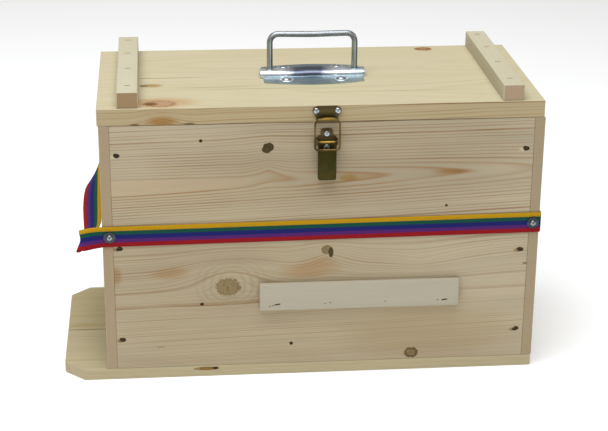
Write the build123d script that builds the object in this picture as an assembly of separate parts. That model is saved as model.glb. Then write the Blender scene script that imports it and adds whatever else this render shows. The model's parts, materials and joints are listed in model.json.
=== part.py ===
from build123d import *
from math import cos, pi, radians, sin, tan
import cmath
import os

# Lidded softwood tool case with a chest handle, a toggle latch and a webbing
# strap. Millimetres. +X runs along the front to the right, +Y from the front
# to the back, +Z up. The origin is the centre of the case's footprint, on the
# underside of the base board.

# Case, outside
case_length = 434.0
case_depth = 206.0
wall_height = 256.5
panel_thickness = 18.0
end_wall_thickness = 20.0
end_grain_width = 10.0
edge_ease = 0.6

# Base board
base_thickness = 12.0
ledge_length = 43.3
ledge_corner_front = 20.5
ledge_corner_back = 19.5
base_short_right = 0.6

# Lid, two boards joined edge to edge
lid_thickness = 17.0
lid_shift_left = 1.3
front_board_width = 102.0

# Battens across the lid
batten_width = 20.3
batten_height = 16.0
left_batten_inset = 19.6
right_batten_inset = 21.0
batten_setback = 1.5

# Slat stapled to the front panel
slat_left = -63.4
slat_length = 200.8
slat_bottom = 73.4
slat_height = 28.0
slat_thickness = 6.0

# Nails through the panels into the end walls
nail_head_radius = 2.6
nail_head_thickness = 1.2
nail_shank_radius = 1.3
nail_length = 45.0
nail_sink = 0.6
left_nail_inset = 6.4
right_nail_inset = 7.9
left_nail_heights = (43.5, 142.3, 238.5)
right_nail_heights = (42.2, 129.7, 236.7)

# Screws up through the base board
base_screw_head_radius = 3.9
base_screw_shank_radius = 1.9
base_screw_length = 36.0
base_screw_sink = 0.5
base_screw_end_inset = 77.0
base_screw_side_inset = 48.0

# Staples
staple_crown = 6.0
staple_wire = 1.2
staple_leg = 24.0
slat_staple_leg = 16.0
staple_sink = 0.2
batten_staple_places = (-79.0, -19.0, 37.0, 88.0)
slat_staple_places = (-45.8, 4.8, 63.4, 123.0)
slat_staple_rise = 6.4
slat_staple_tilt = 9.0

# Shared clearances, and how far a cutting shape runs past what it cuts
bore_clearance = 0.05
face_gap = 0.25
cut_overrun = 1.0

# Drawing of small round sections and of bends
small_round_sides = 8
wire_sides = 8
bend_steps = 3
ridge_facets = 6
flange_steps = 4
pan_edge_share = 0.45
pan_crown_share = 0.6

# Webbing strap
strap_width = 21.0
strap_thickness = 1.4
strap_left_height = 155.4
strap_right_height = 159.0
strap_corner_radius = 1.7
strap_start_inset = 2.4
strap_screw_inset = 7.1
strap_hole_radius = 2.2
corner_steps = 3
loop_steps = 1

# Route of the slack loop: out from the left face, back from the front face,
# up from the strap's level, lean in degrees. It is drawn for a case of the
# depth given, and its back end follows the back face of another.
loop_route_depth = 206.0
loop_route = (
    (-7.1, -0.95, 0.0, 0.0),
    (-1.0, -0.95, 0.0, 0.0),
    (2.5, -1.6, 0.0, 4.0),
    (9.5, -3.2, -0.1, 12.0),
    (16.0, -5.4, -0.5, 21.0),
    (20.4, -5.6, -1.4, 23.0),
    (20.4, -1.0, -5.0, 19.0),
    (17.4, 6.5, -7.6, 22.0),
    (13.0, 19.0, -7.8, 38.0),
    (10.6, 35.0, -5.6, 51.0),
    (11.2, 61.0, -3.2, 59.0),
    (12.4, 95.0, -1.4, 64.0),
    (13.0, 128.0, -0.4, 61.0),
    (12.8, 153.0, 0.9, 52.0),
    (11.6, 175.0, 2.0, 36.0),
    (9.6, 192.0, 2.4, 20.0),
    (6.4, 203.5, 2.0, 7.0),
    (2.8, 207.9, 1.4, 0.0),
    (-0.8, 208.6, 0.9, 0.0),
    (-7.1, 208.6, 0.3, 0.0),
    (-16.1, 208.6, 0.0, 0.0),
)

# Strap screws and washers
strap_screw_head_radius = 3.2
strap_screw_head_height = 2.2
strap_screw_shank_radius = 1.6
strap_screw_length = 22.0
washer_radius = 6.0
washer_hole_radius = 2.1
washer_thickness = 1.0

# Chest handle
handle_shift = -2.4
plate_half_length = 50.5
plate_half_depth_end = 26.5
plate_half_depth_middle = 35.0
plate_thickness = 1.5
plate_corner_cut = 2.5
ridge_half_length = 53.0
ridge_inner_radius = 3.35
ridge_wall = 1.5
ridge_bulge_half_width = 9.0
ridge_bulge_height = 9.8
ridge_bulge_half_length = 36.0
slot_half_width = 4.2
slot_front_gap = 0.4
slot_depth_back = 13.0
bail_wire_radius = 3.0
bail_half_span = 43.1
bail_rise = 40.0
bail_corner_radius = 8.5
bail_foot_radius = 4.2
bail_foot_end = 52.0
bail_dip = 0.8
bail_axis_rise = 3.5

# Handle screws
handle_screw_half_spacing_x = 27.5
handle_screw_half_spacing_y = 21.0
handle_screw_head_radius = 4.4
handle_screw_head_height = 2.4
handle_screw_shank_radius = 1.9
handle_screw_length = 15.0

# Toggle latch
latch_centre = 2.2
catch_thickness = 1.2
catch_top_gap = 0.6
catch_top_half_width = 9.6
catch_lobe_reach = 3.4
catch_lobe_half_height = 2.5
catch_corner_radius = 2.4
catch_screw_drop = 5.4
catch_screw_half_spacing = 10.4
lip_half_width = 10.4
lip_drop = 0.2
lip_inner_radius = 1.9
lip_rise = 5.6
lip_corner_radius = 3.0
loop_wire_radius = 1.0
loop_half_width = 12.0
loop_top_chamfer = 3.6
loop_top_radius = 2.2
loop_shoulder_share = 0.8
loop_bottom_radius = 3.0
loop_lip_gap = 0.35
loop_bar_drop = 0.4
latch_base_thickness = 1.2
tab_half_width = 5.9
tab_top_drop = 6.8
tab_screw_drop = 11.4
latch_pivot_drop = 19.0
latch_pivot_stand = 5.2
latch_base_half_width = 10.4
latch_base_shoulder = 3.0
latch_shoulder_slope = 3.0
latch_base_bottom_drop = 41.0
tab_corner_radius = 2.5
lower_screw_drop = 25.2
pivot_pin_radius = 1.2
pivot_pin_overhang = 0.4
pivot_ear_radius = 3.0
lever_half_width = 8.8
lever_wall = 1.0
lever_length = 37.0
lever_face_stand = 10.4
lever_flange_depth = 6.6
lever_brow_rise = 1.6
lever_heel_drop = 1.5
lever_tail_rise = 4.0
lever_tail_cut = 3.0
lever_window_drop = 1.2
loop_pivot_drop = 7.0
loop_pivot_stand = 8.2

# Head of the lever's flanges about the pivot: towards the back, up
lever_head = ((-2.4, 1.4), (-1.0, 2.3), (1.6, 1.9))

latch_screw_head_radius = 2.9
latch_screw_head_height = 1.8
latch_screw_shank_radius = 1.4
latch_screw_length = 15.0

# Butt hinges on the back
hinge_length = 50.0
hinge_end_inset = 77.0
hinge_leaf_reach = 14.5
hinge_leaf_thickness = 1.2
hinge_corner_radius = 2.0
knuckle_radius = 2.5
hinge_pin_radius = 1.2
hinge_pin_overhang = 0.8
knuckle_gap = 0.3
hinge_screw_half_spacing = 16.0
hinge_screw_reach = 8.6
hinge_screw_head_radius = 2.5
hinge_screw_shank_radius = 1.3
hinge_screw_length = 14.0

# Levels and faces that follow from the sizes above
half_length = case_length / 2
half_depth = case_depth / 2
front_face = -half_depth
back_face = half_depth
wall_top = base_thickness + wall_height
lid_top = wall_top + lid_thickness
panel_half_length = half_length - end_grain_width
inner_half_length = half_length - end_wall_thickness
inner_half_depth = half_depth - panel_thickness
lid_left = -half_length - lid_shift_left
lid_right = lid_left + case_length
lid_joint = front_face + front_board_width
strap_slope = (strap_right_height - strap_left_height) / case_length


def board(x0, x1, y0, y1, z0, z1):
    """A sawn board between two corners."""
    size = (x1 - x0, y1 - y0, z1 - z0)
    middle = ((x0 + x1) / 2, (y0 + y1) / 2, (z0 + z1) / 2)
    return Pos(*middle) * Box(*size)


def eased(part, joint=None):
    """The board with its sharp edges taken off, but for those at a glued joint at Y."""
    edges = [edge for edge in part.edges() if joint is None or abs(edge.center().Y - joint) > edge_ease]
    return chamfer(edges, edge_ease)


def pointing(direction):
    """The turn that takes +Z to the given direction and leaves +X level."""
    level = (0, 1, 0) if direction[0] else (1, 0, 0)
    return Plane(origin=(0, 0, 0), x_dir=level, z_dir=direction).location


def small_round(radius, height=0.0):
    """Section of a small round part, drawn with flats, at a height."""
    return Pos(0, 0, height) * RegularPolygon(radius, small_round_sides)


def rod(radius, length):
    """A small round rod along -Z from the origin."""
    return extrude(small_round(radius), -length)


def cross_rod(radius, length):
    """A small round rod along X, half to each side of the origin."""
    turn = pointing((1, 0, 0))
    return extrude(turn * RegularPolygon(radius, wire_sides), length / 2, both=True)


def cross_bore(radius, length):
    """The hole that lets a rod of the radius turn in it, along X."""
    turn = pointing((1, 0, 0))
    outline = RegularPolygon(radius + bore_clearance, wire_sides, major_radius=False)
    return extrude(turn * outline, length / 2, both=True)


def countersunk_screw(head_radius, shank_radius, length):
    """A countersunk screw along -Z, its head's face at the origin."""
    cone = head_radius - shank_radius
    head = loft([small_round(head_radius), small_round(shank_radius, -cone)], ruled=True)
    return head + rod(shank_radius, length)


def pan_screw(head_radius, head_height, shank_radius, length):
    """A pan head screw along -Z, the underside of its head at the origin."""
    rim = small_round(head_radius)
    edge = small_round(head_radius, head_height * pan_edge_share)
    crown = small_round(head_radius * pan_crown_share, head_height)
    return loft([rim, edge, crown], ruled=True) + rod(shank_radius, length)


def nail():
    """A flat head nail along -Z, its head's face at the origin."""
    return rod(nail_head_radius, nail_head_thickness) + rod(nail_shank_radius, nail_length)


def nail_bore():
    """The way a sunk nail takes into the wood, along -Z from the face."""
    head = rod(nail_head_radius + bore_clearance, nail_sink + nail_head_thickness + bore_clearance)
    return head + shank_bore(nail_shank_radius, nail_sink + nail_length)


def shank_bore(radius, length):
    """A straight pilot hole along -Z from the origin."""
    return rod(radius + bore_clearance, length + bore_clearance)


def sunk_bore(head_radius, shank_radius, length, sink):
    """A countersunk hole along -Z from the face, its screw sunk below it."""
    cone = head_radius - shank_radius
    wide = head_radius + bore_clearance
    narrow = shank_radius + bore_clearance
    mouth = [small_round(wide, bore_clearance), small_round(wide, -sink)]
    seat = [small_round(wide, -sink), small_round(narrow, -sink - cone)]
    head = loft(mouth, ruled=True) + loft(seat, ruled=True)
    return head + shank_bore(shank_radius, sink + length)


def staple(crown, leg):
    """A wire staple along -Z, its crown along X with its top at the origin."""
    middle = crown / 2 - staple_wire / 2
    bridge = Box(crown, staple_wire, staple_wire, align=(Align.CENTER, Align.CENTER, Align.MAX))
    prong = Box(staple_wire, staple_wire, leg, align=(Align.CENTER, Align.CENTER, Align.MAX))
    return bridge + Pos(middle, 0, 0) * prong + Pos(-middle, 0, 0) * prong


def staple_bore(crown, leg):
    """The slot that a sunk staple leaves, along -Z from the face."""
    gap = 2 * bore_clearance
    middle = crown / 2 - staple_wire / 2
    depth = staple_sink + staple_wire + bore_clearance
    top = Align.CENTER, Align.CENTER, Align.MAX
    bridge = Box(crown + gap, staple_wire + gap, depth, align=top)
    prong = Box(staple_wire + gap, staple_wire + gap, staple_sink + leg + gap, align=top)
    return bridge + Pos(middle, 0, 0) * prong + Pos(-middle, 0, 0) * prong


# Places of the fasteners, each the point on the face and the turn of +Z outwards
into_front = pointing((0, -1, 0))
into_back = pointing((0, 1, 0))
into_base = pointing((0, 0, -1))


def nail_places(face, turn):
    places = []
    for height in left_nail_heights:
        places.append(Pos(-panel_half_length + left_nail_inset, face, height) * turn)
    for height in right_nail_heights:
        places.append(Pos(panel_half_length - right_nail_inset, face, height) * turn)
    return places


def base_screw_places():
    places = []
    panel_middle = half_depth - panel_thickness / 2
    wall_middle = half_length - end_wall_thickness / 2
    along = half_length - base_screw_end_inset
    across = half_depth - base_screw_side_inset
    for side in (-1, 1):
        for end in (-1, 1):
            places.append(Pos(end * along, side * panel_middle, 0) * into_base)
            places.append(Pos(end * wall_middle, side * across, 0) * into_base)
    return places


front_nails = nail_places(front_face, into_front)
back_nails = nail_places(back_face, into_back)
base_screws_at = base_screw_places()
batten_middles = (
    lid_left + left_batten_inset + batten_width / 2,
    lid_right - right_batten_inset - batten_width / 2,
)
batten_staples_at = [
    Pos(middle, place, lid_top + batten_height)
    for middle in batten_middles
    for place in batten_staple_places
]
slat_staples_at = [
    Pos(place, front_face - slat_thickness, slat_bottom + slat_staple_rise)
    * into_front
    * Rot(0, 0, slat_staple_tilt)
    for place in slat_staple_places
]
strap_screw_x = half_length - strap_screw_inset
strap_cover = face_gap + strap_thickness
strap_lap_cover = strap_cover + strap_thickness + face_gap


def strap_height_at(x):
    """Height of the strap's middle where it crosses the front or back at x."""
    return strap_left_height + strap_slope * (x + half_length)


def strap_screw_places(lift):
    """Under the heads of the four strap screws, lifted from the strap's face."""
    front = front_face - strap_cover - lift
    places = []
    for x in (-strap_screw_x, strap_screw_x):
        places.append(Pos(x, front, strap_height_at(x)) * into_front)
    right_back = back_face + strap_cover + lift
    left_back = back_face + strap_lap_cover + lift
    places.append(Pos(strap_screw_x, right_back, strap_height_at(strap_screw_x)) * into_back)
    places.append(Pos(-strap_screw_x, left_back, strap_height_at(-strap_screw_x)) * into_back)
    return places


handle_screws_at = [
    Pos(handle_shift + sx * handle_screw_half_spacing_x, sy * handle_screw_half_spacing_y, 0)
    for sx in (-1, 1)
    for sy in (-1, 1)
]
catch_screw_z = lid_top - catch_screw_drop
catch_face = front_face - catch_thickness
catch_screws_at = [
    Pos(latch_centre + side * catch_screw_half_spacing, catch_face, catch_screw_z) * into_front
    for side in (-1, 1)
]
latch_base_face = front_face - latch_base_thickness
latch_screws_at = [
    Pos(latch_centre, latch_base_face, wall_top - drop) * into_front
    for drop in (tab_screw_drop, lower_screw_drop)
]
hinge_axis_y = back_face + knuckle_radius + bore_clearance
hinge_middles = (hinge_end_inset - half_length, half_length - hinge_end_inset)


def hinge_screw_places(direction):
    """Faces of the hinge screws above (1) or below (-1) the hinge line."""
    face = back_face + hinge_leaf_thickness
    level = wall_top + direction * hinge_screw_reach
    return [
        Pos(middle + side * hinge_screw_half_spacing, face, level) * into_back
        for middle in hinge_middles
        for side in (-1, 1)
    ]


def drilled(part, places, bore):
    for place in places:
        part = part - place * bore
    return part


def base_board():
    left = -half_length - ledge_length
    right = half_length - base_short_right
    outline = Polyline(
        (left, front_face + ledge_corner_front),
        (left + ledge_corner_front, front_face),
        (right, front_face),
        (right, back_face),
        (left + ledge_corner_back, back_face),
        (left, back_face - ledge_corner_back),
        close=True,
    )
    part = eased(extrude(make_face(outline), base_thickness))
    bore = sunk_bore(
        base_screw_head_radius, base_screw_shank_radius, base_screw_length, base_screw_sink
    )
    return drilled(part, base_screws_at, bore)


def base_screw_bores(part):
    """Pilot holes of the base screws in what stands on the base board."""
    reach = base_screw_sink + base_screw_length
    return drilled(part, base_screws_at, shank_bore(base_screw_shank_radius, reach))


def end_wall(side):
    """An end wall, rabbeted down both edges for the panels. Its grain runs in Y."""
    outer = side * half_length
    inner = side * inner_half_length
    tongue = side * panel_half_length
    low, high = sorted((outer, inner))
    part = eased(board(low, high, front_face, back_face, base_thickness, wall_top))
    for edge in (-1, 1):
        near, far = sorted((edge * (half_depth + cut_overrun), edge * inner_half_depth))
        left, right = sorted((tongue, inner - side * cut_overrun))
        bottom = base_thickness - cut_overrun
        part = part - board(left, right, near, far, bottom, wall_top + cut_overrun)
    part = drilled(part, front_nails + back_nails, nail_bore())
    part = base_screw_bores(part)
    bore = shank_bore(strap_screw_shank_radius, strap_screw_length)
    return drilled(part, strap_screw_places(washer_thickness), bore)


def panel(face, turn, nails):
    """The front or back panel, let into the end walls. Its grain runs in X."""
    inner = inner_half_depth if face > 0 else -inner_half_depth
    low, high = sorted((face, inner))
    half = panel_half_length
    part = eased(board(-half, half, low, high, base_thickness, wall_top))
    return base_screw_bores(drilled(part, nails, nail_bore()))


def front_panel():
    part = panel(front_face, into_front, front_nails)
    part = drilled(part, slat_staples_at, staple_bore(staple_crown, slat_staple_leg))
    return drilled(part, latch_screws_at, shank_bore(latch_screw_shank_radius, latch_screw_length))


def back_panel():
    part = panel(back_face, into_back, back_nails)
    return drilled(part, hinge_screw_places(-1), hinge_bore())


def hinge_bore():
    return shank_bore(hinge_screw_shank_radius, hinge_screw_length)


def lid_board(y0, y1):
    """One of the lid's two boards, with the holes that reach it."""
    part = eased(board(lid_left, lid_right, y0, y1, wall_top, lid_top), lid_joint)
    part = drilled(part, batten_staples_at, staple_bore(staple_crown, staple_leg))
    pilot = shank_bore(handle_screw_shank_radius, handle_screw_length)
    part = drilled(part, handle_screws_at, Pos(0, 0, lid_top + plate_thickness) * pilot)
    part = drilled(part, catch_screws_at, shank_bore(latch_screw_shank_radius, latch_screw_length))
    return drilled(part, hinge_screw_places(1), hinge_bore())


def lid_batten(middle):
    half = batten_width / 2
    reach = half_depth - batten_setback
    left = middle - half
    right = middle + half
    part = eased(board(left, right, -reach, reach, lid_top, lid_top + batten_height))
    return drilled(part, batten_staples_at, staple_bore(staple_crown, staple_leg))


def front_slat():
    part = board(
        slat_left,
        slat_left + slat_length,
        front_face - slat_thickness,
        front_face,
        slat_bottom,
        slat_bottom + slat_height,
    )
    return drilled(eased(part), slat_staples_at, staple_bore(staple_crown, slat_staple_leg))


# Strap. Its middle line starts on the back at the left, runs round the right
# end and the front, leaves the left front corner as a slack loop and laps its
# own start. A station holds a point, the direction of travel and the lean of
# the band, 0 where it stands on edge and 90 where it lies flat with its lower
# edge outwards.
strap_line = half_depth + face_gap + strap_thickness / 2
strap_side_line = half_length + face_gap + strap_thickness / 2


def band_section(point, travel, lean):
    """The band's cross section at a point."""
    heading = Vector(*travel).normalized()
    inward = heading.cross(Vector(0, 0, 1)).normalized()
    upright = inward.cross(heading).normalized()
    edge = upright * cos(radians(lean)) + inward * sin(radians(lean))
    return Plane(origin=point, x_dir=edge, z_dir=heading) * Rectangle(strap_width, strap_thickness)


def corner_stations(centre_x, centre_y, start, height):
    """Stations round a vertical edge, turning clockwise seen from above."""
    radius = strap_corner_radius
    stations = []
    for step in range(corner_steps + 1):
        angle = radians(start - 90 * step / corner_steps)
        point = (centre_x + radius * cos(angle), centre_y + radius * sin(angle), height)
        stations.append((point, (sin(angle), -cos(angle), 0), 0))
    return stations


def smoothed(before, start, end, after, share):
    """A value between start and end on the smooth curve through four values."""
    slope = (end - before) * share
    bend = (2 * before - 5 * start + 4 * end - after) * share**2
    turn = (after - before + 3 * (start - end)) * share**3
    return start + (slope + bend + turn) / 2


def loop_stations():
    """The slack part at the left, from the front screw to the lap on the back."""
    rows = []
    for out, back, lift, lean in loop_route:
        share = min(max(back / loop_route_depth, 0), 1)
        stretch = share * (case_depth - loop_route_depth)
        rows.append((-half_length - out, front_face + back + stretch, strap_left_height + lift, lean))
    rows = [rows[0]] + rows + [rows[-1]]
    line = []
    for first in range(len(rows) - 3):
        steps = loop_steps if first < len(rows) - 4 else loop_steps + 1
        for step in range(steps):
            share = step / loop_steps
            line.append([smoothed(*values, share) for values in zip(*rows[first : first + 4])])
    stations = []
    for place, here in enumerate(line):
        ahead = line[min(place + 1, len(line) - 1)]
        behind = line[max(place - 1, 0)]
        travel = tuple(ahead[axis] - behind[axis] for axis in range(3))
        stations.append((tuple(here[:3]), travel, here[3]))
    return stations


def strap_stations():
    bend = strap_corner_radius
    start = -half_length + strap_start_inset
    right = strap_side_line - bend
    stations = [((start, strap_line, strap_height_at(start)), (1, 0, strap_slope), 0)]
    stations += corner_stations(right, strap_line - bend, 90, strap_right_height)
    stations += corner_stations(right, bend - strap_line, 0, strap_right_height)
    return stations + loop_stations()


def carrying_strap():
    sections = [band_section(*station) for station in strap_stations()]
    part = loft(sections, ruled=True)
    hole = Pos(0, 0, 2 * strap_thickness) * rod(strap_hole_radius, 4 * strap_thickness)
    for place in strap_screw_places(-strap_thickness):
        part = part - place * hole
    return part


def strap_screws():
    screw = pan_screw(
        strap_screw_head_radius,
        strap_screw_head_height,
        strap_screw_shank_radius,
        strap_screw_length,
    )
    return [place * screw for place in strap_screw_places(washer_thickness)]


def strap_washers():
    ring = small_round(washer_radius) - small_round(washer_hole_radius)
    washer = extrude(ring, washer_thickness)
    return [place * washer for place in strap_screw_places(0)]


# Handle. It is built round its own middle and then moved to its place.
bail_axis_z = lid_top + bail_axis_rise


def ridge_profile(x, half_width, height):
    """Round arch over straight sides, standing on the lid at x."""
    spring = height - half_width
    arch = []
    for step in range(ridge_facets + 1):
        angle = pi * step / ridge_facets
        arch.append((half_width * cos(angle), spring + half_width * sin(angle)))
    outline = Polyline((half_width, 0), *arch, (-half_width, 0), close=True)
    place = Plane(origin=(x, 0, 0), x_dir=(0, 1, 0), z_dir=(1, 0, 0))
    return place * make_face(outline)


def ridge(inset, reach):
    """The ridge's outside, or its hollow where inset is the sheet's thickness."""
    half_width = ridge_inner_radius + ridge_wall - inset
    height = bail_axis_rise + half_width
    bulge_half_width = ridge_bulge_half_width - inset
    bulge_height = ridge_bulge_height - inset
    bulge = ridge_bulge_half_length
    return loft(
        [
            ridge_profile(-reach, half_width, height),
            ridge_profile(-bulge, half_width, height),
            ridge_profile(0, bulge_half_width, bulge_height),
            ridge_profile(bulge, half_width, height),
            ridge_profile(reach, half_width, height),
        ],
        ruled=True,
    )


def handle_flange():
    """The flat part of the plate, bowed along its front and back."""
    bow = plate_half_depth_middle - plate_half_depth_end
    back = []
    for step in range(flange_steps + 1):
        share = 2 * step / flange_steps - 1
        back.append((share * plate_half_length, plate_half_depth_end + bow * (1 - share**2)))
    front = [(-along, -across) for along, across in back]
    flange = extrude(make_face(Polyline(*back, *front, close=True)), plate_thickness)
    corners = flange.edges().filter_by(Axis.Z).sort_by(lambda edge: abs(edge.center().X))[-4:]
    return chamfer(corners, plate_corner_cut)


def handle_plate():
    part = handle_flange() + ridge(0, ridge_half_length)
    part = part - ridge(ridge_wall, ridge_half_length + plate_thickness)
    slot_front = -bail_wire_radius - slot_front_gap
    for side in (-1, 1):
        middle = side * bail_half_span
        low = middle - slot_half_width
        high = middle + slot_half_width
        part = part - board(low, high, slot_front, slot_depth_back, 0, 2 * ridge_bulge_height)
    bore = Pos(0, 0, plate_thickness) * shank_bore(handle_screw_shank_radius, 2 * plate_thickness)
    part = drilled(part, [Pos(-handle_shift, 0, 0) * at for at in handle_screws_at], bore)
    return Pos(handle_shift, 0, lid_top) * part


def bent_wire(frame, corners, radius):
    """Wire through corners in a plane. A corner holds its place and bend radius.

    Both ends are cut square to the plane's first axis.
    """
    places = [complex(along, up) for along, up, bend in corners]
    stations = [(places[0], 1)]
    for before, here, after, corner in zip(places, places[1:], places[2:], corners[1:]):
        heading = (here - before) / abs(here - before)
        turn = cmath.phase((after - here) / heading)
        side = heading * (1j if turn > 0 else -1j)
        start = here - heading * corner[2] * tan(abs(turn) / 2)
        centre = start + side * corner[2]
        for step in range(bend_steps + 1):
            turned = cmath.exp(1j * turn * step / bend_steps)
            stations.append((centre - side * corner[2] * turned, heading * turned))
    stations.append((places[-1], 1 if places[-1].real > places[-2].real else -1))
    sections = []
    for place, heading in stations:
        direction = frame.x_dir * complex(heading).real + frame.y_dir * complex(heading).imag
        origin = frame.origin + frame.x_dir * place.real + frame.y_dir * place.imag
        square = Plane(origin=origin, x_dir=frame.z_dir, z_dir=direction)
        sections.append(square * RegularPolygon(radius, wire_sides))
    return loft(sections, ruled=True)


def handle_bail():
    corners = [
        (0, bail_rise - bail_dip, 0),
        (bail_half_span, bail_rise, bail_corner_radius),
        (bail_half_span, 0, bail_foot_radius),
        (bail_foot_end, 0, 0),
    ]
    half = bent_wire(Plane.XZ, corners, bail_wire_radius)
    return Pos(handle_shift, 0, bail_axis_z) * (half + mirror(half, Plane.YZ))


def handle_screws():
    screw = pan_screw(
        handle_screw_head_radius,
        handle_screw_head_height,
        handle_screw_shank_radius,
        handle_screw_length,
    )
    return [Pos(0, 0, lid_top + plate_thickness) * at * screw for at in handle_screws_at]


# Latch
on_front = Plane(origin=(0, front_face, 0), x_dir=(1, 0, 0), z_dir=(0, -1, 0))
pivot_y = front_face - latch_pivot_stand
pivot_z = wall_top - latch_pivot_drop
loop_pivot_y = front_face - loop_pivot_stand
loop_pivot_z = pivot_z - loop_pivot_drop
lip_bottom = wall_top + lip_drop
lip_top = lip_bottom + lip_rise
lip_front = front_face - 2 * lip_inner_radius - 2 * catch_thickness
loop_bar_y = lip_front - loop_lip_gap - loop_wire_radius
loop_bar_z = lip_top - loop_wire_radius - loop_bar_drop


def latch_catch_plate():
    """Flat plate with two screw lobes, its lower edge rolled up into a lip."""
    top = lid_top - catch_top_gap
    lobe = catch_screw_half_spacing + catch_lobe_reach
    lobe_top = catch_screw_z + catch_lobe_half_height
    lobe_bottom = catch_screw_z - catch_lobe_half_height
    fold = lip_bottom + lip_inner_radius + catch_thickness
    outline = Polyline(
        (-catch_top_half_width, top),
        (catch_top_half_width, top),
        (lobe, lobe_top),
        (lobe, lobe_bottom),
        (lip_half_width, fold),
        (-lip_half_width, fold),
        (-lobe, lobe_bottom),
        (-lobe, lobe_top),
        close=True,
    )
    plate = extrude(on_front * make_face(outline), catch_thickness)
    corners = plate.edges().filter_by(Axis.Y).sort_by(Axis.Z)[2:]
    plate = fillet(corners, catch_corner_radius)
    part = plate + lip_curl()
    part = Pos(latch_centre, 0, 0) * part
    return drilled(part, catch_screws_at, shank_bore(latch_screw_shank_radius, 2 * catch_thickness))


def lip_curl():
    """The rolled lip, a J in section, narrower towards its free edge."""
    bend = lip_inner_radius + catch_thickness
    centre = lip_bottom + bend
    inner = lip_inner_radius
    front = front_face - bend
    tall = lip_top
    outside = ThreePointArc((front_face, centre), (front, centre - bend), (front - bend, centre))
    inside = ThreePointArc(
        (front - inner, centre), (front, centre - inner), (front + inner, centre)
    )
    rim = Polyline(
        (front - bend, centre), (front - bend, tall), (front - inner, tall), (front - inner, centre)
    )
    root = Line((front + inner, centre), (front_face, centre))
    section = Plane.YZ * make_face(outside + rim + inside + root)
    curl = extrude(section, lip_half_width, both=True)
    free = curl.edges().filter_by(Axis.Y).sort_by(Axis.Z)[-2:]
    return fillet(free, lip_corner_radius)


def latch_base_plate():
    """Sheet with a screw tab on top and two ears folded forward at its sides."""
    tab_top = wall_top - tab_top_drop
    shoulder = pivot_z + latch_base_shoulder
    bottom = wall_top - latch_base_bottom_drop
    wide = latch_base_half_width
    outline = Polyline(
        (-tab_half_width, tab_top),
        (tab_half_width, tab_top),
        (tab_half_width, shoulder + latch_shoulder_slope),
        (wide, shoulder),
        (wide, bottom),
        (-wide, bottom),
        (-wide, shoulder),
        (-tab_half_width, shoulder + latch_shoulder_slope),
        close=True,
    )
    plate = extrude(on_front * make_face(outline), latch_base_thickness)
    tips = plate.edges().filter_by(Axis.Y).sort_by(Axis.Z)[-2:]
    plate = fillet(tips, tab_corner_radius)
    part = plate
    for side in (-1, 1):
        part = part + latch_ear(side)
    part = Pos(latch_centre, 0, 0) * part
    bore = shank_bore(latch_screw_shank_radius, 2 * latch_base_thickness)
    part = drilled(part, latch_screws_at, bore)
    return part - Pos(latch_centre, pivot_y, pivot_z) * cross_bore(pivot_pin_radius, 3 * wide)


def latch_ear(side):
    """One ear, rounded about the pivot."""
    low = pivot_z - pivot_ear_radius
    high = pivot_z + pivot_ear_radius
    outline = Polyline(
        (front_face, low), (pivot_y, low), (pivot_y, high), (front_face, high), close=True
    )
    tongue = Plane.YZ * make_face(outline)
    disc = Plane.YZ * (Pos(pivot_y, pivot_z) * Circle(pivot_ear_radius))
    thick = latch_base_thickness
    start = side * (latch_base_half_width - thick / 2)
    ear = extrude(tongue, thick / 2, both=True) + extrude(disc, thick / 2, both=True)
    return Pos(start, 0, 0) * ear


def latch_pivot_pin():
    length = 2 * (latch_base_half_width + pivot_pin_overhang)
    return Pos(latch_centre, pivot_y, pivot_z) * cross_rod(pivot_pin_radius, length)


def latch_lever():
    """Channel section lever. Its flanges reach up to the pivot and carry the loop."""
    face = front_face - lever_face_stand
    bottom = pivot_z - lever_length
    top = loop_pivot_z + lever_brow_rise
    back = face + lever_flange_depth
    half = lever_half_width
    head = [(pivot_y + behind, pivot_z + rise) for behind, rise in lever_head]
    side_view = Polyline(
        (face, bottom),
        (face, top),
        *head,
        (back, pivot_z - lever_heel_drop),
        (back, bottom + lever_tail_rise),
        (back - lever_tail_cut, bottom),
        close=True,
    )
    block = extrude(Plane.YZ * make_face(side_view), half, both=True)
    front_corners = block.edges().filter_by(Axis.Z).sort_by(Axis.Y)[:2]
    block = fillet(front_corners, lever_wall)
    inside = half - lever_wall
    roof = pivot_z + lever_length
    behind = face + 2 * lever_flange_depth
    well = board(-inside, inside, face + lever_wall, behind, bottom - cut_overrun, roof)
    sill = loop_pivot_z - lever_window_drop
    window = board(-inside, inside, face - cut_overrun, behind, sill, roof)
    part = block - well - window
    part = part - Pos(0, pivot_y, pivot_z) * cross_bore(pivot_pin_radius, 3 * half)
    part = part - Pos(0, loop_pivot_y, loop_pivot_z) * cross_bore(loop_wire_radius, 3 * half)
    return Pos(latch_centre, 0, 0) * part


def latch_loop():
    """Closed wire loop, hung in the lever's eyes and standing before the lip."""
    half = loop_half_width
    rise = loop_bar_z - loop_pivot_z
    lean = loop_bar_y - loop_pivot_y
    length = (rise**2 + lean**2) ** 0.5
    corners = [
        (0, 0, 0),
        (half, 0, loop_bottom_radius),
        (half, length - loop_top_chamfer, loop_top_radius),
        (half - loop_top_chamfer * loop_shoulder_share, length, loop_top_radius),
        (0, length, 0),
    ]
    frame = Plane(
        origin=(latch_centre, loop_pivot_y, loop_pivot_z),
        x_dir=(1, 0, 0),
        z_dir=(0, -rise / length, lean / length),
    )
    side = bent_wire(frame, corners, loop_wire_radius)
    return side + mirror(side, Plane.YZ.offset(latch_centre))


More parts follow.
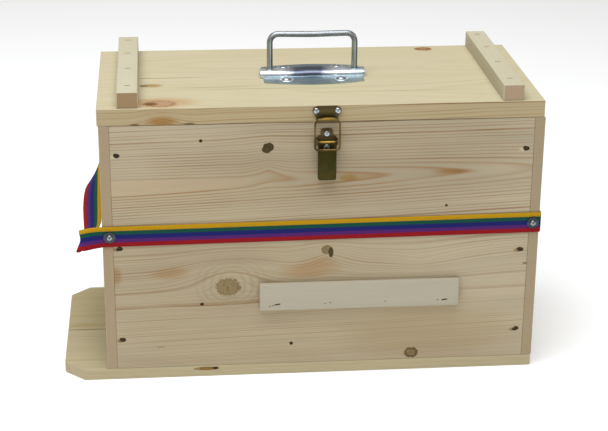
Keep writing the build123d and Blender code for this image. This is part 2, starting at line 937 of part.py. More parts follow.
# Hinges
def hinge_leaf(middle, direction):
    """A leaf above (1) or below (-1) the hinge line. The lower holds two knuckles."""
    half = hinge_length / 2
    root = wall_top + direction * (knuckle_radius + knuckle_gap)
    low, high = sorted((root, wall_top + direction * hinge_leaf_reach))
    front = back_face
    back = back_face + hinge_leaf_thickness
    part = board(-half, half, front, back, low, high)
    corners = part.edges().filter_by(Axis.Y).sort_by(Axis.Z)
    part = fillet(corners[-2:] if direction > 0 else corners[:2], hinge_corner_radius)
    third = hinge_length / 6 - knuckle_gap / 2
    middle_span = [(-third, third)]
    outer_spans = [(-half, -third - knuckle_gap), (third + knuckle_gap, half)]
    spans = middle_span if direction > 0 else outer_spans
    for left, right in spans:
        z0, z1 = sorted((wall_top, root + direction * cut_overrun))
        web = board(left, right, front, back, z0, z1)
        roll = Pos((left + right) / 2, hinge_axis_y, wall_top) * cross_rod(knuckle_radius, right - left)
        part = part + web + roll
    part = part - Pos(0, hinge_axis_y, wall_top) * cross_bore(hinge_pin_radius, 2 * hinge_length)
    part = Pos(middle, 0, 0) * part
    hole = sunk_bore(hinge_screw_head_radius, hinge_screw_shank_radius, hinge_screw_length, 0)
    return drilled(part, hinge_screw_places(direction), hole)


def hinge_pin(middle):
    pin = cross_rod(hinge_pin_radius, hinge_length + 2 * hinge_pin_overhang)
    return Pos(middle, hinge_axis_y, wall_top) * pin


def hinge_screws(direction):
    screw = countersunk_screw(hinge_screw_head_radius, hinge_screw_shank_radius, hinge_screw_length)
    return [place * screw for place in hinge_screw_places(direction)]


def group(solids):
    """Separate solids of one kind kept in one node."""
    return Compound(children=[Solid(item.solid().wrapped) for item in solids])


def base_screws():
    screw = countersunk_screw(base_screw_head_radius, base_screw_shank_radius, base_screw_length)
    return [place * Pos(0, 0, -base_screw_sink) * screw for place in base_screws_at]


def sunk_nails(places):
    one = nail()
    return [place * Pos(0, 0, -nail_sink) * one for place in places]


def sunk_staples(places, leg):
    one = staple(staple_crown, leg)
    return [place * Pos(0, 0, -staple_sink) * one for place in places]


def latch_screws(places):
    screw = pan_screw(
        latch_screw_head_radius,
        latch_screw_head_height,
        latch_screw_shank_radius,
        latch_screw_length,
    )
    return [place * screw for place in places]


nodes = {
    "base_board": base_board(),
    "left_end_wall": end_wall(-1),
    "right_end_wall": end_wall(1),
    "front_panel": front_panel(),
    "back_panel": back_panel(),
    "lid_front_board": lid_board(front_face, lid_joint),
    "lid_back_board": lid_board(lid_joint, back_face),
    "lid_batten_left": lid_batten(batten_middles[0]),
    "lid_batten_right": lid_batten(batten_middles[1]),
    "front_slat": front_slat(),
    "front_nails": group(sunk_nails(front_nails)),
    "back_nails": group(sunk_nails(back_nails)),
    "base_screws": group(base_screws()),
    "batten_staples": group(sunk_staples(batten_staples_at, staple_leg)),
    "slat_staples": group(sunk_staples(slat_staples_at, slat_staple_leg)),
    "carrying_strap": carrying_strap(),
    "strap_screws": group(strap_screws()),
    "strap_washers": group(strap_washers()),
    "handle_plate": handle_plate(),
    "handle_bail": handle_bail(),
    "handle_screws": group(handle_screws()),
    "latch_catch_plate": latch_catch_plate(),
    "latch_catch_screws": group(latch_screws(catch_screws_at)),
    "latch_base_plate": latch_base_plate(),
    "latch_base_screws": group(latch_screws(latch_screws_at)),
    "latch_pivot_pin": latch_pivot_pin(),
    "latch_lever": latch_lever(),
    "latch_loop": latch_loop(),
    "left_hinge_lid_leaf": hinge_leaf(hinge_middles[0], 1),
    "left_hinge_case_leaf": hinge_leaf(hinge_middles[0], -1),
    "left_hinge_pin": hinge_pin(hinge_middles[0]),
    "right_hinge_lid_leaf": hinge_leaf(hinge_middles[1], 1),
    "right_hinge_case_leaf": hinge_leaf(hinge_middles[1], -1),
    "right_hinge_pin": hinge_pin(hinge_middles[1]),
    "hinge_lid_screws": group(hinge_screws(1)),
    "hinge_case_screws": group(hinge_screws(-1)),
}

os.makedirs("parts", exist_ok=True)
for name, shape in nodes.items():
    export_step(shape, f"parts/{name}.step")
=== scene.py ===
import bpy
import bmesh
import json
import math
from functools import partial
import numpy as np
from mathutils import Matrix, Vector


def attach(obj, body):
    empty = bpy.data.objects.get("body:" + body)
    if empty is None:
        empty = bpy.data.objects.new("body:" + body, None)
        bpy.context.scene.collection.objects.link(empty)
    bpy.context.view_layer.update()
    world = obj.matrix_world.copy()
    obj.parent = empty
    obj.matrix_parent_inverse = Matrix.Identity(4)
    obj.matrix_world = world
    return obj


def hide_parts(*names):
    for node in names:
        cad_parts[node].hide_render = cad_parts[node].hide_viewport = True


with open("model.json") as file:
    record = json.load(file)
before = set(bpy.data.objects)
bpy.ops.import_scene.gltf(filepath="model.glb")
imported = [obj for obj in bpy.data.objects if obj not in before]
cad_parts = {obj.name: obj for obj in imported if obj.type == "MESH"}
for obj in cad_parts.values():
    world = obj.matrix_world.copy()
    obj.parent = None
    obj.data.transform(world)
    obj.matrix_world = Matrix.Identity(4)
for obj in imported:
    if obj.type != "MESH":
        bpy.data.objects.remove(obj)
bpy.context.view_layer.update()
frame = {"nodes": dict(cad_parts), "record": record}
bpy.ops.object.select_all(action="DESELECT")

MM = 0.001


# Colours, nodes and materials

def colour(code):
    """An sRGB hex value as linear RGBA."""
    parts = [int(code[at:at + 2], 16) / 255 for at in (0, 2, 4)]
    linear = [part / 12.92 if part <= 0.04045 else ((part + 0.055) / 1.055) ** 2.4 for part in parts]
    return (*linear, 1.0)


def add_node(tree, kind, *inputs, out=0, stops=(), **settings):
    """Adds a node with its settings and links, and gives back one of its outputs, or all where out is None.
    The inputs are given in their order, or as a dictionary by name or number."""
    made = tree.nodes.new("ShaderNode" + kind)
    for name, value in settings.items():
        setattr(made, name, value)
    if stops:
        ramp = made.color_ramp
        while len(ramp.elements) < len(stops):
            ramp.elements.new(0.5)
        for element, (place, tone) in zip(ramp.elements, stops):
            element.position = place
            element.color = colour(tone) if isinstance(tone, str) else (tone, tone, tone, 1.0)
    given = inputs[0] if inputs and isinstance(inputs[0], dict) else dict(enumerate(inputs))
    for socket, value in given.items():
        target = made.inputs[socket]
        if isinstance(value, bpy.types.NodeSocket):
            tree.links.new(value, target)
        else:
            target.default_value = value
    return made.outputs if out is None else made.outputs[out]


def new_material(name):
    """An empty node material and the function that adds nodes to it."""
    material = bpy.data.materials.new(name)
    material.use_nodes = True
    material.node_tree.nodes.clear()
    return material, partial(add_node, material.node_tree)


# a mix node's settings for colours, and the place of its colour output
IN_COLOUR = {"data_type": "RGBA", "out": 2}


# Planed softwood. Spruce and pine boards are pale cream with darker, orange
# brown latewood lines a few millimetres apart. The lines are one field of
# growth rings about a heart line that runs through or beside the board, so
# faces, edges and end grain agree. Round a knot the rings part and close again.
# No lines show within QUIET mm of the heart, and past FINE_FROM mm they close up.
# A knot with a radius over CRACKED_FROM mm has cracks and rings of its own.
PALE = "b5a788"
LATE = "865f31"
GREY = "a99d86"
TAN = "c2a07a"
HEART_LINE = "9c6f34"
QUIET = 9.0
FINE_FROM = 110.0
CRACKED_FROM = 5.0

KNOT_TONES = {
    "grey": ((0.0, "a3906a"), (0.15, "917e5b"), (0.4, "87754f"), (0.7, "8e7a57"), (0.9, "7b6845"),
             (1.0, "a08d68")),
    "dark": ((0.0, "5a4a26"), (0.3, "3f3213"), (0.6, "4e3f1d"), (0.86, "221906"), (1.0, "5c4b27")),
    "green": ((0.0, "8f7c55"), (0.35, "7f6c47"), (0.6, "8b7750"), (0.88, "6d5b38"), (1.0, "8d7a54")),
    "brown": ((0.0, "8c744e"), (0.2, "725b38"), (0.4, "907851"), (0.6, "6a5433"), (0.86, "584527"),
              (1.0, "8d7650")),
    "pin": ((0.0, "1c1305"), (0.5, "2b1e0b"), (0.9, "54401f"), (1.0, "8f7750")),
    "scar": ((0.0, "7c6648"), (0.5, "8b7350"), (0.9, "a08860"), (1.0, "b09a72")),
    "torn": ((0.0, "c2b591"), (0.7, "bdb08c"), (1.0, "b6a885")),
    "hole": ((0.0, "181004"), (0.7, "261b0a"), (0.93, "4f3e20"), (1.0, "8c7a54")),
    "crack": ((0.0, "786541"), (0.6, "7f6c48"), (1.0, "8a7752")),
    "pitch": ((0.0, "8f7030"), (0.5, "86652a"), (0.85, "6a4c22"), (1.0, "8f7a50")),
    "peach": ((0.0, "b59272"), (0.3, "a98464"), (0.5, "b08b69"), (0.8, "9a7555"), (1.0, "b3977a")),
    "bark": ((0.0, "5e4225"), (0.4, "73532f"), (0.7, "86633f"), (1.0, "9f7e58")),
    "orange": ((0.0, "9c7448"), (0.3, "a57c50"), (0.6, "8c6440"), (0.88, "946a42"), (1.0, "b98f5d")),
}


def softwood(name, heart, drift, ring=3.0, along="x", through="y", knots=(), bends=(), eyes=(), stains=(),
             tone=PALE, late=LATE, grey=GREY, end_tone="b0957a", end_depth=0.55, edge_tone=None,
             strength=0.8, far_strength=1.0, phase=0.0, wander=5.0, fine=0.0012, seed=0.0):
    """Planed softwood. heart is the heart line's place across the board at the origin, in mm, and drift its
    slope. A bend pulls the rings round a place: its reach, the pull towards its own level, a lift and a
    whirl. Eyes are closed rings round a knot. A place of three numbers lies on one face alone."""
    material, add = new_material(name)

    def spread(pair):
        if len(pair) == 3:
            return pair
        return (pair[0], 0.0, pair[1]) if through == "y" else (*pair, 0.0)

    def from_spot(source, at, reach):
        """The place counted from a spot, in its reaches."""
        spot = add("VectorMath", source, spread(at), operation="SUBTRACT")
        return add("VectorMath", spot, spread(tuple(1 / far for far in reach)), operation="MULTIPLY")

    def cloudy(source, offset, stretch, detail, *reaches):
        """Slow changes along the board, drawn out along its grain."""
        moved = add("Mapping", {"Vector": source, "Location": (seed, *offset), "Scale": stretch})
        cloud = add("TexNoise", {"Vector": moved, "Scale": 1.0, "Detail": detail}, out="Fac")
        return add("MapRange", cloud, *reaches)

    place = add("TexCoord", out="Object")
    if along == "y":
        place = add("Mapping", {"Vector": place, "Rotation": (0, 0, math.radians(-90))})
    place = add("VectorMath", {0: place, "Scale": 1000.0}, operation="SCALE")
    # the tree's own wander, a few millimetres over the board's length
    slow = add("Mapping", {"Vector": place, "Location": (seed, seed, 0), "Scale": (0.007, 0.028, 0.028)})
    slow = add("TexNoise", {"Vector": slow, "Scale": 1.0, "Detail": 2.0, "Roughness": 0.45}, out="Color")
    slow = add("VectorMath", slow, (0.5, 0.5, 0.5), operation="SUBTRACT")
    bent = add("VectorMath", slow, (0, wander, wander), place, operation="MULTIPLY_ADD")
    whirls = []
    for at, reach, pull, lift, whirl in bends:
        up = (0, 0, -1) if len(at) == 3 else spread((0, -1))
        bowl = from_spot(place, at, reach)
        bowl = add("TexGradient", {"Vector": bowl}, out="Fac", gradient_type="QUADRATIC_SPHERE")
        moved = add("VectorMath", place, spread(at), operation="SUBTRACT")
        moved = add("VectorMath", moved, Vector(up) * pull, Vector(up) * lift, operation="MULTIPLY_ADD")
        moved = add("VectorMath", {0: moved, "Scale": bowl}, operation="SCALE")
        bent = add("VectorMath", bent, moved, operation="ADD")
        if whirl:
            whirls.append(add("Math", bowl, whirl, operation="MULTIPLY"))
    rotation = (0, -math.atan(drift[1]), math.atan(drift[0]))
    about = add("Mapping", {"Vector": bent, "Location": (0, *heart), "Rotation": rotation},
                vector_type="TEXTURE")
    about = add("VectorMath", about, (0, 1, 1), operation="MULTIPLY")
    radius = add("VectorMath", about, out="Value", operation="LENGTH")
    for whirl in whirls:
        radius = add("Math", radius, whirl, operation="ADD")
    # rings about 3 mm apart near the heart and finer further out
    outer = add("Math", radius, FINE_FROM, operation="SUBTRACT")
    outer = add("Math", outer, 0.0, operation="MAXIMUM")
    outer = add("Math", outer, outer, operation="MULTIPLY")
    outer = add("Math", outer, fine, phase, operation="MULTIPLY_ADD")
    years = add("Math", radius, 1 / ring, outer, operation="MULTIPLY_ADD")
    uneven = add("Math", radius, 0.11, operation="MULTIPLY")
    uneven = add("TexNoise", {"W": uneven, "Scale": 1.0, "Detail": 1.0}, out="Fac", noise_dimensions="1D")
    spread_out = add("MapRange", radius, 12.0, 45.0, 0.0, 2.4)
    years = add("Math", uneven, spread_out, years, operation="MULTIPLY_ADD")
    growth = add("Math", years, operation="FRACT")
    year = add("Math", years, operation="FLOOR")
    weight = add("TexWhiteNoise", {"W": year}, out="Value", noise_dimensions="1D")
    weight = add("MapRange", weight, 0.0, 1.0, 0.12, 1.0)
    near = add("MapRange", radius, QUIET, QUIET + 20.0, 1.0, 0.0)
    weight = add("Math", weight, near, operation="MAXIMUM")
    line = add("ValToRGB", growth, stops=((0.0, 0.12), (0.2, 0.0), (0.55, 0.14), (0.88, 1.0), (1.0, 0.25)))
    calm = add("MapRange", radius, QUIET - 1.5, QUIET, interpolation_type="SMOOTHSTEP")
    # lines fade in and out over the board
    fade = cloudy(place, (3, 5), (0.010, 0.035, 0.035), 1.0, 0.35, 0.6, 0.45, 1.0)
    faint = add("MapRange", radius, 95.0, 175.0, 1.0, far_strength)
    for share in (weight, calm, fade, strength, faint):
        line = add("Math", line, share, operation="MULTIPLY")
    # fibres: streaks about 0.6 mm wide and 40 mm long
    fibre = add("VectorMath", bent, (0.025, 1.6, 1.6), operation="MULTIPLY")
    fibre = add("TexNoise", {"Vector": fibre, "Scale": 1.0, "Detail": 3.0, "Roughness": 0.6}, out="Fac")
    # the tone turns greyer in places, and warmer near the heart
    greyer = cloudy(bent, (9, 2), (0.004, 0.03, 0.03), 2.0, 0.35, 0.7, 0.0, 0.8)
    body = add("Mix", {0: greyer, 6: colour(tone), 7: colour(grey)}, **IN_COLOUR)
    warm = add("MapRange", calm, 0.0, 1.0, 0.3, 0.0)
    body = add("Mix", {0: warm, 6: body, 7: colour(TAN)}, **IN_COLOUR)
    if edge_tone:
        edge = add("SeparateXYZ", add("TexCoord", out="Normal"), out="Y")
        edge = add("MapRange", edge, -0.75, -0.95)
        deeper = add("MapRange", edge, 0.0, 1.0, 1.0, 3.2)
        line = add("Math", line, deeper, operation="MULTIPLY")
    summer = add("Mix", {0: near, 6: colour(late), 7: colour(HEART_LINE)}, **IN_COLOUR)
    body = add("Mix", {0: line, 6: body, 7: summer}, **IN_COLOUR)
    streak = add("MapRange", fibre, 0.25, 0.75, 0.94, 1.05)
    body = add("VectorMath", {0: body, "Scale": streak}, operation="SCALE")
    # painted light: faces turned to the front take a warmer tone, standing for the warmer light that falls
    # on them
    if edge_tone:
        body = add("Mix", {0: edge, 6: body, 7: colour(edge_tone)}, blend_type="MULTIPLY", **IN_COLOUR)
    # each spot listed for the board, a real stain or a painted shade or shadow line, is multiplied in
    # softly
    for at, size, tint, amount in stains:
        spot = from_spot(place if len(at) == 3 else bent, at, size)
        spot = add("TexGradient", {"Vector": spot}, out="Fac", gradient_type="SPHERICAL")
        spot = add("MapRange", spot, 0.0, 0.7, 0.0, amount, interpolation_type="SMOOTHSTEP")
        body = add("Mix", {0: spot, 6: body, 7: colour(tint)}, blend_type="MULTIPLY", **IN_COLOUR)
    # closed rings round a big knot
    ragged = add("TexNoise", {"Vector": place, "Scale": 0.3, "Detail": 2.0}, out="Fac")
    ragged = add("MapRange", ragged, 0.0, 1.0, -0.3, 0.3)
    for at, size, tint in eyes:
        spot = from_spot(bent, at, size)
        away = add("VectorMath", spot, out="Value", operation="LENGTH")
        away = add("Math", ragged, 0.22, away, operation="MULTIPLY_ADD")
        rings = add("Math", away, 5.6, operation="MULTIPLY")
        rings = add("Math", rings, operation="FRACT")
        rings = add("ValToRGB", rings, stops=((0.0, 0.1), (0.35, 0.0), (0.8, 0.9), (1.0, 0.1)))
        outside = add("MapRange", away, 0.75, 1.0, 0.75, 0.0)
        for share in (outside, fade):
            rings = add("Math", rings, share, operation="MULTIPLY")
        body = add("Mix", {0: rings, 6: body, 7: colour(tint)}, **IN_COLOUR)
    # end grain drinks dirt and looks darker
    facing = add("TexCoord", out="Normal")
    facing = add("SeparateXYZ", facing, out="Y" if along == "y" else "X")
    facing = add("Math", facing, operation="ABSOLUTE")
    facing = add("MapRange", facing, 0.75, 0.95, 0.0, end_depth)
    body = add("Mix", {0: facing, 6: body, 7: colour(end_tone)}, **IN_COLOUR)
    # knots, each with a darker rim
    height = add("Math", fibre, 0.25, line, operation="MULTIPLY_ADD")
    for at, size, look in knots:
        spot = from_spot(place, at, size)
        away = add("VectorMath", spot, out="Value", operation="LENGTH")
        away = add("Math", away, ragged, operation="ADD")
        wood = add("ValToRGB", away, stops=KNOT_TONES[look])
        inside = add("MapRange", away, 0.85, 1.08, 1.0, 0.0)
        if size[0] > CRACKED_FROM:
            cracks = add("VectorMath", spot, (2.6, 2.6, 2.6), spread(at), operation="MULTIPLY_ADD")
            cracks = add("TexVoronoi", {"Vector": cracks, "Scale": 1.0}, out="Distance",
                         feature="DISTANCE_TO_EDGE")
            cracks = add("MapRange", cracks, 0.0, 0.12, 0.82, 1.0)
            knot_years = add("Math", away, 26.0, operation="MULTIPLY")
            knot_years = add("Math", knot_years, operation="SINE")
            knot_years = add("MapRange", knot_years, -1.0, 1.0, 0.9, 1.08)
            knot_years = add("Math", knot_years, cracks, operation="MULTIPLY")
            wood = add("VectorMath", {0: wood, "Scale": knot_years}, operation="SCALE")
        body = add("Mix", {0: inside, 6: body, 7: wood}, **IN_COLOUR)
    bump = add("Bump", {"Strength": 0.25, "Distance": 0.0004, "Height": height})
    dry = add("MapRange", fibre, 0.0, 1.0, 0.52, 0.7)
    shader = add("BsdfPrincipled", {"Base Color": body, "Roughness": dry, "Normal": bump,
                                    "Specular IOR Level": 0.22})
    add("OutputMaterial", shader, out=None)
    return material


def finish_board(node, *look, **settings):
    """Gives a board of the construction its softwood."""
    materials = frame["nodes"][node].data.materials
    materials.clear()
    materials.append(softwood(*look, **settings))


front_knots = (
    ((-94.7, 98.0), (12.5, 10.0), "grey"), ((-84.4, 97.0), (3.4, 3.2), "crack"),
    ((-95.0, 96.0), (2.0, 5.5), "crack"), ((-54.0, 244.2), (5.4, 4.2), "dark"),
    ((-56.2, 241.6), (4.6, 3.6), "dark"), ((4.0, 135.4), (5.4, 5.0), "green"),
    ((8.0, 132.6), (2.6, 5.4), "dark"), ((91.9, 18.9), (7.6, 6.2), "brown"),
    ((122.3, 179.1), (1.5, 1.5), "pin"), ((-120.8, 80.1), (2.2, 1.8), "pin"),
    ((-31.3, 33.8), (2.0, 1.9), "pin"), ((-119.5, 252.0), (2.0, 1.8), "pin"),
    ((-162.8, 34.3), (5.0, 0.7), "scar"), ((205.1, 114.5), (3.4, 1.6), "scar"),
)
front_bends = (
    ((-93.0, 104.0), (92.0, 46.0), 1.0, 0.0, 18.0), ((-54.7, 243.2), (52.0, 30.0), 0.4, 0.0, 0.0),
    ((-54.0, 222.0), (34.0, 34.0), 0.0, 8.0, 0.0), ((4.9, 126.0), (48.0, 34.0), 0.0, 11.0, 0.0),
    ((100.0, 122.0), (110.0, 40.0), 0.0, -11.0, 0.0), ((91.9, 18.9), (34.0, 18.0), 0.6, 0.0, 0.0),
)
NAIL_PLACES = (
    (-200.6, 43.5), (-200.6, 142.3), (-200.6, 238.5), (199.1, 42.2), (199.1, 129.7), (199.1, 236.7),
)
# round each nail the wood is bruised and a little torn
nail_marks = ()
for nail_x, nail_z in NAIL_PLACES:
    side = math.copysign(1.0, nail_z % 10 - 3)
    nail_marks += (
        ((nail_x - 2.6, nail_z - 0.8), (4.4, 2.2), "torn" if nail_z > 200 else "scar"),
        ((nail_x + 0.6, nail_z), (2.9, 2.3), "hole"),
        ((nail_x - 0.8, nail_z + 0.8 * side), (2.6, 1.8), "hole"),
    )
    if nail_x < 0:
        nail_marks += (((nail_x - 6.6, nail_z - 0.4), (0.45, 1.5), "hole"),)
# Warm stained patches; two broad greyer patches, over the upper middle and over the left; a painted shadow
# line along the panel's top under the lid; and painted shade on the lower right, below the slat.
front_stains = (
    ((-152.0, 113.0), (26.0, 8.0), "f0d6b4", 0.7), ((-206.0, 113.0), (9.0, 14.0), "ecd0ac", 0.8),
    ((-12.0, 112.0), (38.0, 11.0), "f2d4b4", 0.7), ((24.0, 210.9), (13.0, 5.0), "e8d092", 0.9),
    # the second entry here is a painted shadow line along the top, under the lid's edge
    ((128.0, 214.5), (30.0, 3.6), "e8c896", 0.7), ((0.0, 268.8), (420.0, 1.6), "8a6a45", 0.6),
    ((30.0, 230.0), (230.0, 70.0), "e9e5dd", 0.6), ((-80.0, 90.0), (240.0, 170.0), "f9f6ee", 0.9),
    # painted shade on the lower right, below the slat
    ((110.0, 42.0), (120.0, 45.0), "f0e6d4", 0.7),
)
finish_board(
    "front_panel", "spruce_front", (-91.8, 210.8), (0.035, 0.028), tone="b8ab90", strength=1.0,
    far_strength=0.62, fine=0.0021, phase=-0.45, wander=2.0, knots=nail_marks + front_knots,
    eyes=(((-91.0, 101.0), (42.0, 25.0), "958a6c"),), bends=front_bends, stains=front_stains)
finish_board(
    "back_panel", "spruce_back", (95.0, 70.0), (0.03, -0.02), ring=3.3, seed=40.0,
    knots=(((60.0, 200.0), (9.0, 7.0), "grey"), ((-150.0, 150.0), (4.0, 3.6), "dark"),
           ((120.0, 60.0), (6.0, 5.0), "brown")),
    bends=(((60.0, 200.0), (60.0, 34.0), 0.9, 0.0, 10.0), ((-150.0, 150.0), (36.0, 18.0), 0.6, 0.0, 0.0),
           ((120.0, 60.0), (40.0, 22.0), 0.7, 0.0, 0.0)))
finish_board("left_end_wall", "spruce_left_end", (240.0, 120.0), (0.01, 0.02), along="y", ring=2.8,
             seed=80.0, end_tone="a28e72", end_depth=0.85)
finish_board("right_end_wall", "spruce_right_end", (-240.0, 90.0), (0.01, -0.02), along="y", ring=2.6,
             seed=120.0, end_tone="9f8d70", end_depth=0.85)
lid_stains = (
    ((-158.0, -1.6), (66.0, 1.1), "6f5a3c", 0.75), ((-164.0, -27.0), (13.0, 8.0), "d3b687", 0.9),
    ((-160.0, -86.0), (52.0, 17.0), "efd0b4", 0.8), ((-60.0, -44.0), (90.0, 1.4), "cdb28a", 0.6),
    ((-100.0, -36.0), (60.0, 1.2), "bfa176", 0.6), ((60.0, -60.0), (110.0, 1.3), "d6bf9a", 0.6),
)
# On the lid's front edge: an orange patch, two short dark marks at its lower edge, a painted shadow line
# along the lower edge where the lid sits on the walls, and a dark line along its top at the right.
lid_edge_marks_and_painted_shadow = (
    ((-156.0, -103.0, 272.0), (20.0, 3.0, 6.5), "e6c48e", 0.9),
    ((-182.0, -103.0, 269.4), (7.0, 3.0, 1.8), "8a6c46", 0.8),
    ((-130.0, -103.0, 269.4), (8.0, 3.0, 1.8), "8a6c46", 0.8),
    # painted shadow along the lower edge, where the lid sits on the walls
    ((0.0, -103.0, 268.2), (420.0, 3.0, 1.3), "8a6c48", 0.8),
    ((150.0, -103.0, 284.5), (130.0, 3.0, 1.0), "a5814f", 0.7),
)
finish_board(
    "lid_front_board", "pine_lid_front", (-60.0, 190.0), (0.01, 0.03), through="z", seed=160.0,
    strength=0.3, tone="beb394", late="94703c", grey="b9b08f", edge_tone="f1e7da",
    knots=(((-157.4, -88.4), (17.5, 11.5), "peach"), ((-167.0, -89.0), (8.0, 6.5), "bark"),
           ((-172.8, -28.0), (4.6, 4.6), "green")),
    bends=(((-157.4, -88.0), (70.0, 36.0), 0.8, 0.0, 8.0),
           ((-156.0, -103.0, 268.0), (38.0, 12.0, 34.0), 0.0, 12.0, 0.0)),
    stains=lid_stains + lid_edge_marks_and_painted_shadow)
finish_board(
    "lid_back_board", "pine_lid_back", (40.0, 200.0), (-0.01, 0.02), through="z", seed=200.0,
    strength=0.27, tone="beb394", late="a88656", grey="b9b08f", stains=lid_stains[:1],
    knots=(((126.5, 90.5), (10.0, 7.0), "orange"),), bends=(((126.5, 90.5), (50.0, 24.0), 0.8, 0.0, 0.0),))
finish_board(
    "base_board", "spruce_base", (20.0, -60.0), (0.01, 0.02), through="z", seed=240.0, strength=0.3,
    tone="b8ac8a", grey="b1a584",
    knots=(((-117.0, -103.0, 8.6), (13.5, 3.0, 1.9), "pitch"),
           ((-108.0, -103.0, 8.8), (3.4, 3.0, 1.7), "pin"),
           ((-127.4, -103.0, 8.4), (3.2, 3.0, 1.2), "scar")),
    stains=(((-240.0, -8.0), (40.0, 1.6), "a08650", 0.8), ((-240.0, 2.0), (40.0, 7.0), "eaddb2", 0.6),
            ((-240.0, 55.0), (60.0, 60.0), "f6f0d0", 0.4)))
for side, heart, ring, seed, end_tone in (
    ("left", (190.0, 250.0), 4.2, 280.0, "957852"), ("right", (-215.0, 330.0), 4.4, 320.0, "a78f72"),
):
    finish_board("lid_batten_" + side, "spruce_batten_" + side, heart, (0.01, 0.01), along="y",
                 ring=ring, seed=seed, end_tone=end_tone, end_depth=0.9, strength=0.12, tone="beb79d",
                 grey="b7af94")
slat_marks = tuple(((x, z), (0.7, 0.6), "pin") for x, z in (
    (2.2, 79.4), (7.4, 80.2), (63.0, 79.9), (-53.4, 78.2), (-50.6, 78.9), (116.0, 80.0)))
wood_slat = softwood("spruce_slat", (-60.0, 300.0), (0.0, 0.0), ring=2.0, knots=slat_marks, seed=360.0,
                     tone="b1aa96", strength=0.08, grey="aba38f")


# Webbing strap. A woven band 21 mm wide and 1.4 mm thick in five stripes. It
# starts on the back at the left, runs round the right end and the front, hangs
# in a slack loop at the left and laps over its own start.
BAND_WIDTH = 21.0
BAND_THICKNESS = 1.4
BAND_LEFT = 155.4
BAND_RIGHT = 159.0
HALF_LENGTH = 217.0
HALF_DEPTH = 103.0
# the band's middle stands 0.95 mm off the wood and rounds the corners in a bend of 1.7 mm
BAND_LINE = HALF_DEPTH + 0.95
BAND_BEND = 1.7
BEND_MIDDLE = (HALF_LENGTH - 0.75, HALF_DEPTH - 0.75)
SLACK_ROUTE = (
    (-7.1, -0.95, 0.0, 0.0), (-1.0, -0.95, 0.0, 0.0), (2.5, -1.6, 0.0, 4.0), (9.5, -3.2, -0.1, 12.0),
    (16.0, -5.4, -0.5, 21.0), (20.4, -5.6, -1.4, 23.0), (20.4, -1.0, -5.0, 19.0), (17.4, 6.5, -7.6, 22.0),
    (13.0, 19.0, -7.8, 38.0), (10.6, 35.0, -5.6, 51.0), (11.2, 61.0, -3.2, 59.0), (12.4, 95.0, -1.4, 64.0),
    (13.0, 128.0, -0.4, 61.0), (12.8, 153.0, 0.9, 52.0), (11.6, 175.0, 2.0, 36.0), (9.6, 192.0, 2.4, 20.0),
    (6.4, 203.5, 2.0, 7.0), (2.8, 207.9, 1.4, 0.0), (-0.8, 208.6, 0.9, 0.0), (-7.1, 208.6, 0.3, 0.0),
    (-16.1, 208.6, 0.0, 0.0),
)


def band_height(x):
    """The band climbs a little from the left of the case to the right."""
    return BAND_LEFT + (BAND_RIGHT - BAND_LEFT) * (x + HALF_LENGTH) / (2 * HALF_LENGTH)


def band_places():
    """Points along the band's middle line with the lean of the band, in mm and degrees."""
    start = -214.6
    middle_x, middle_y = BEND_MIDDLE
    places = [(x, BAND_LINE, band_height(x), 0.0) for x in np.linspace(start, middle_x, 40)]
    for first, side in ((90, 1), (0, -1)):
        for step in range(1, 7):
            angle = math.radians(first - 90 * step / 6)
            x = middle_x + BAND_BEND * math.cos(angle)
            y = side * middle_y + BAND_BEND * math.sin(angle)
            places.append((x, y, BAND_RIGHT, 0.0))
        if side == 1:
            places += [(middle_x + BAND_BEND, y, BAND_RIGHT, 0.0) for y in np.linspace(92, -92, 18)]
    slack = [(-HALF_LENGTH - out, back - HALF_DEPTH, BAND_LEFT + lift, lean)
             for out, back, lift, lean in SLACK_ROUTE]
    places += [(x, -BAND_LINE, band_height(x), 0.0) for x in np.linspace(206, slack[0][0] + 8, 40)]
    rows = np.array([slack[0]] + slack + [slack[-1]])
    for before, here, after, last in zip(rows, rows[1:], rows[2:], rows[3:]):
        for share in np.arange(0, 1, 0.125):
            slope = (after - before) * share
            bend = (2 * before - 5 * here + 4 * after - last) * share ** 2
            twist = (last - before + 3 * (here - after)) * share ** 3
            places.append(tuple(here + (slope + bend + twist) / 2))
    places.append(slack[-1])
    return np.array(places)


def woven_band():
    """The band as one closed skin along its middle line, laid out at its true size for the weave."""
    places = band_places()
    across = np.linspace(-1, 1, 11)
    shape = bmesh.new()
    layer = shape.loops.layers.uv.new("weave")
    rings, travelled = [], 0.0
    for at, (x, y, z, lean) in enumerate(places):
        here = Vector((x, y, z))
        travel = Vector(places[min(at + 1, len(places) - 1), :3]) - Vector(places[max(at - 1, 0), :3])
        heading = travel.normalized()
        inward = heading.cross(Vector((0, 0, 1))).normalized()
        upright = inward.cross(heading).normalized()
        edge = upright * math.cos(math.radians(lean)) + inward * math.sin(math.radians(lean))
        proud = heading.cross(edge).normalized()
        if at:
            travelled += (here - Vector(places[at - 1, :3])).length
        ring = []
        for side in (1, -1):
            for share in across[::side]:
                thick = BAND_THICKNESS / 2 * (1 - 0.45 * abs(share) ** 10)
                spot = here + edge * share * BAND_WIDTH / 2 + proud * side * thick
                weave = (travelled * MM, (share + 1) / 2 * BAND_WIDTH * MM)
                ring.append((shape.verts.new(spot * MM), weave))
        rings.append(ring)
    outlines = []
    for first, second in zip(rings, rings[1:]):
        outlines += zip(first, first[1:] + first[:1], second[1:] + second[:1], second)
    for corners in outlines + [rings[0], rings[-1]]:
        face = shape.faces.new([corner for corner, weave in corners])
        for loop, (corner, weave) in zip(face.loops, corners):
            loop[layer].uv = weave
    bmesh.ops.recalc_face_normals(shape, faces=shape.faces)
    mesh = bpy.data.meshes.new("woven_band")
    shape.to_mesh(mesh)
    shape.free()
    band = bpy.data.objects.new("woven_band", mesh)
    bpy.context.scene.collection.objects.link(band)
    for face in mesh.polygons:
        face.use_smooth = len(face.vertices) == 4
    mesh.materials.append(webbing_cloth())
    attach(band, "case")
    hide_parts("carrying_strap")


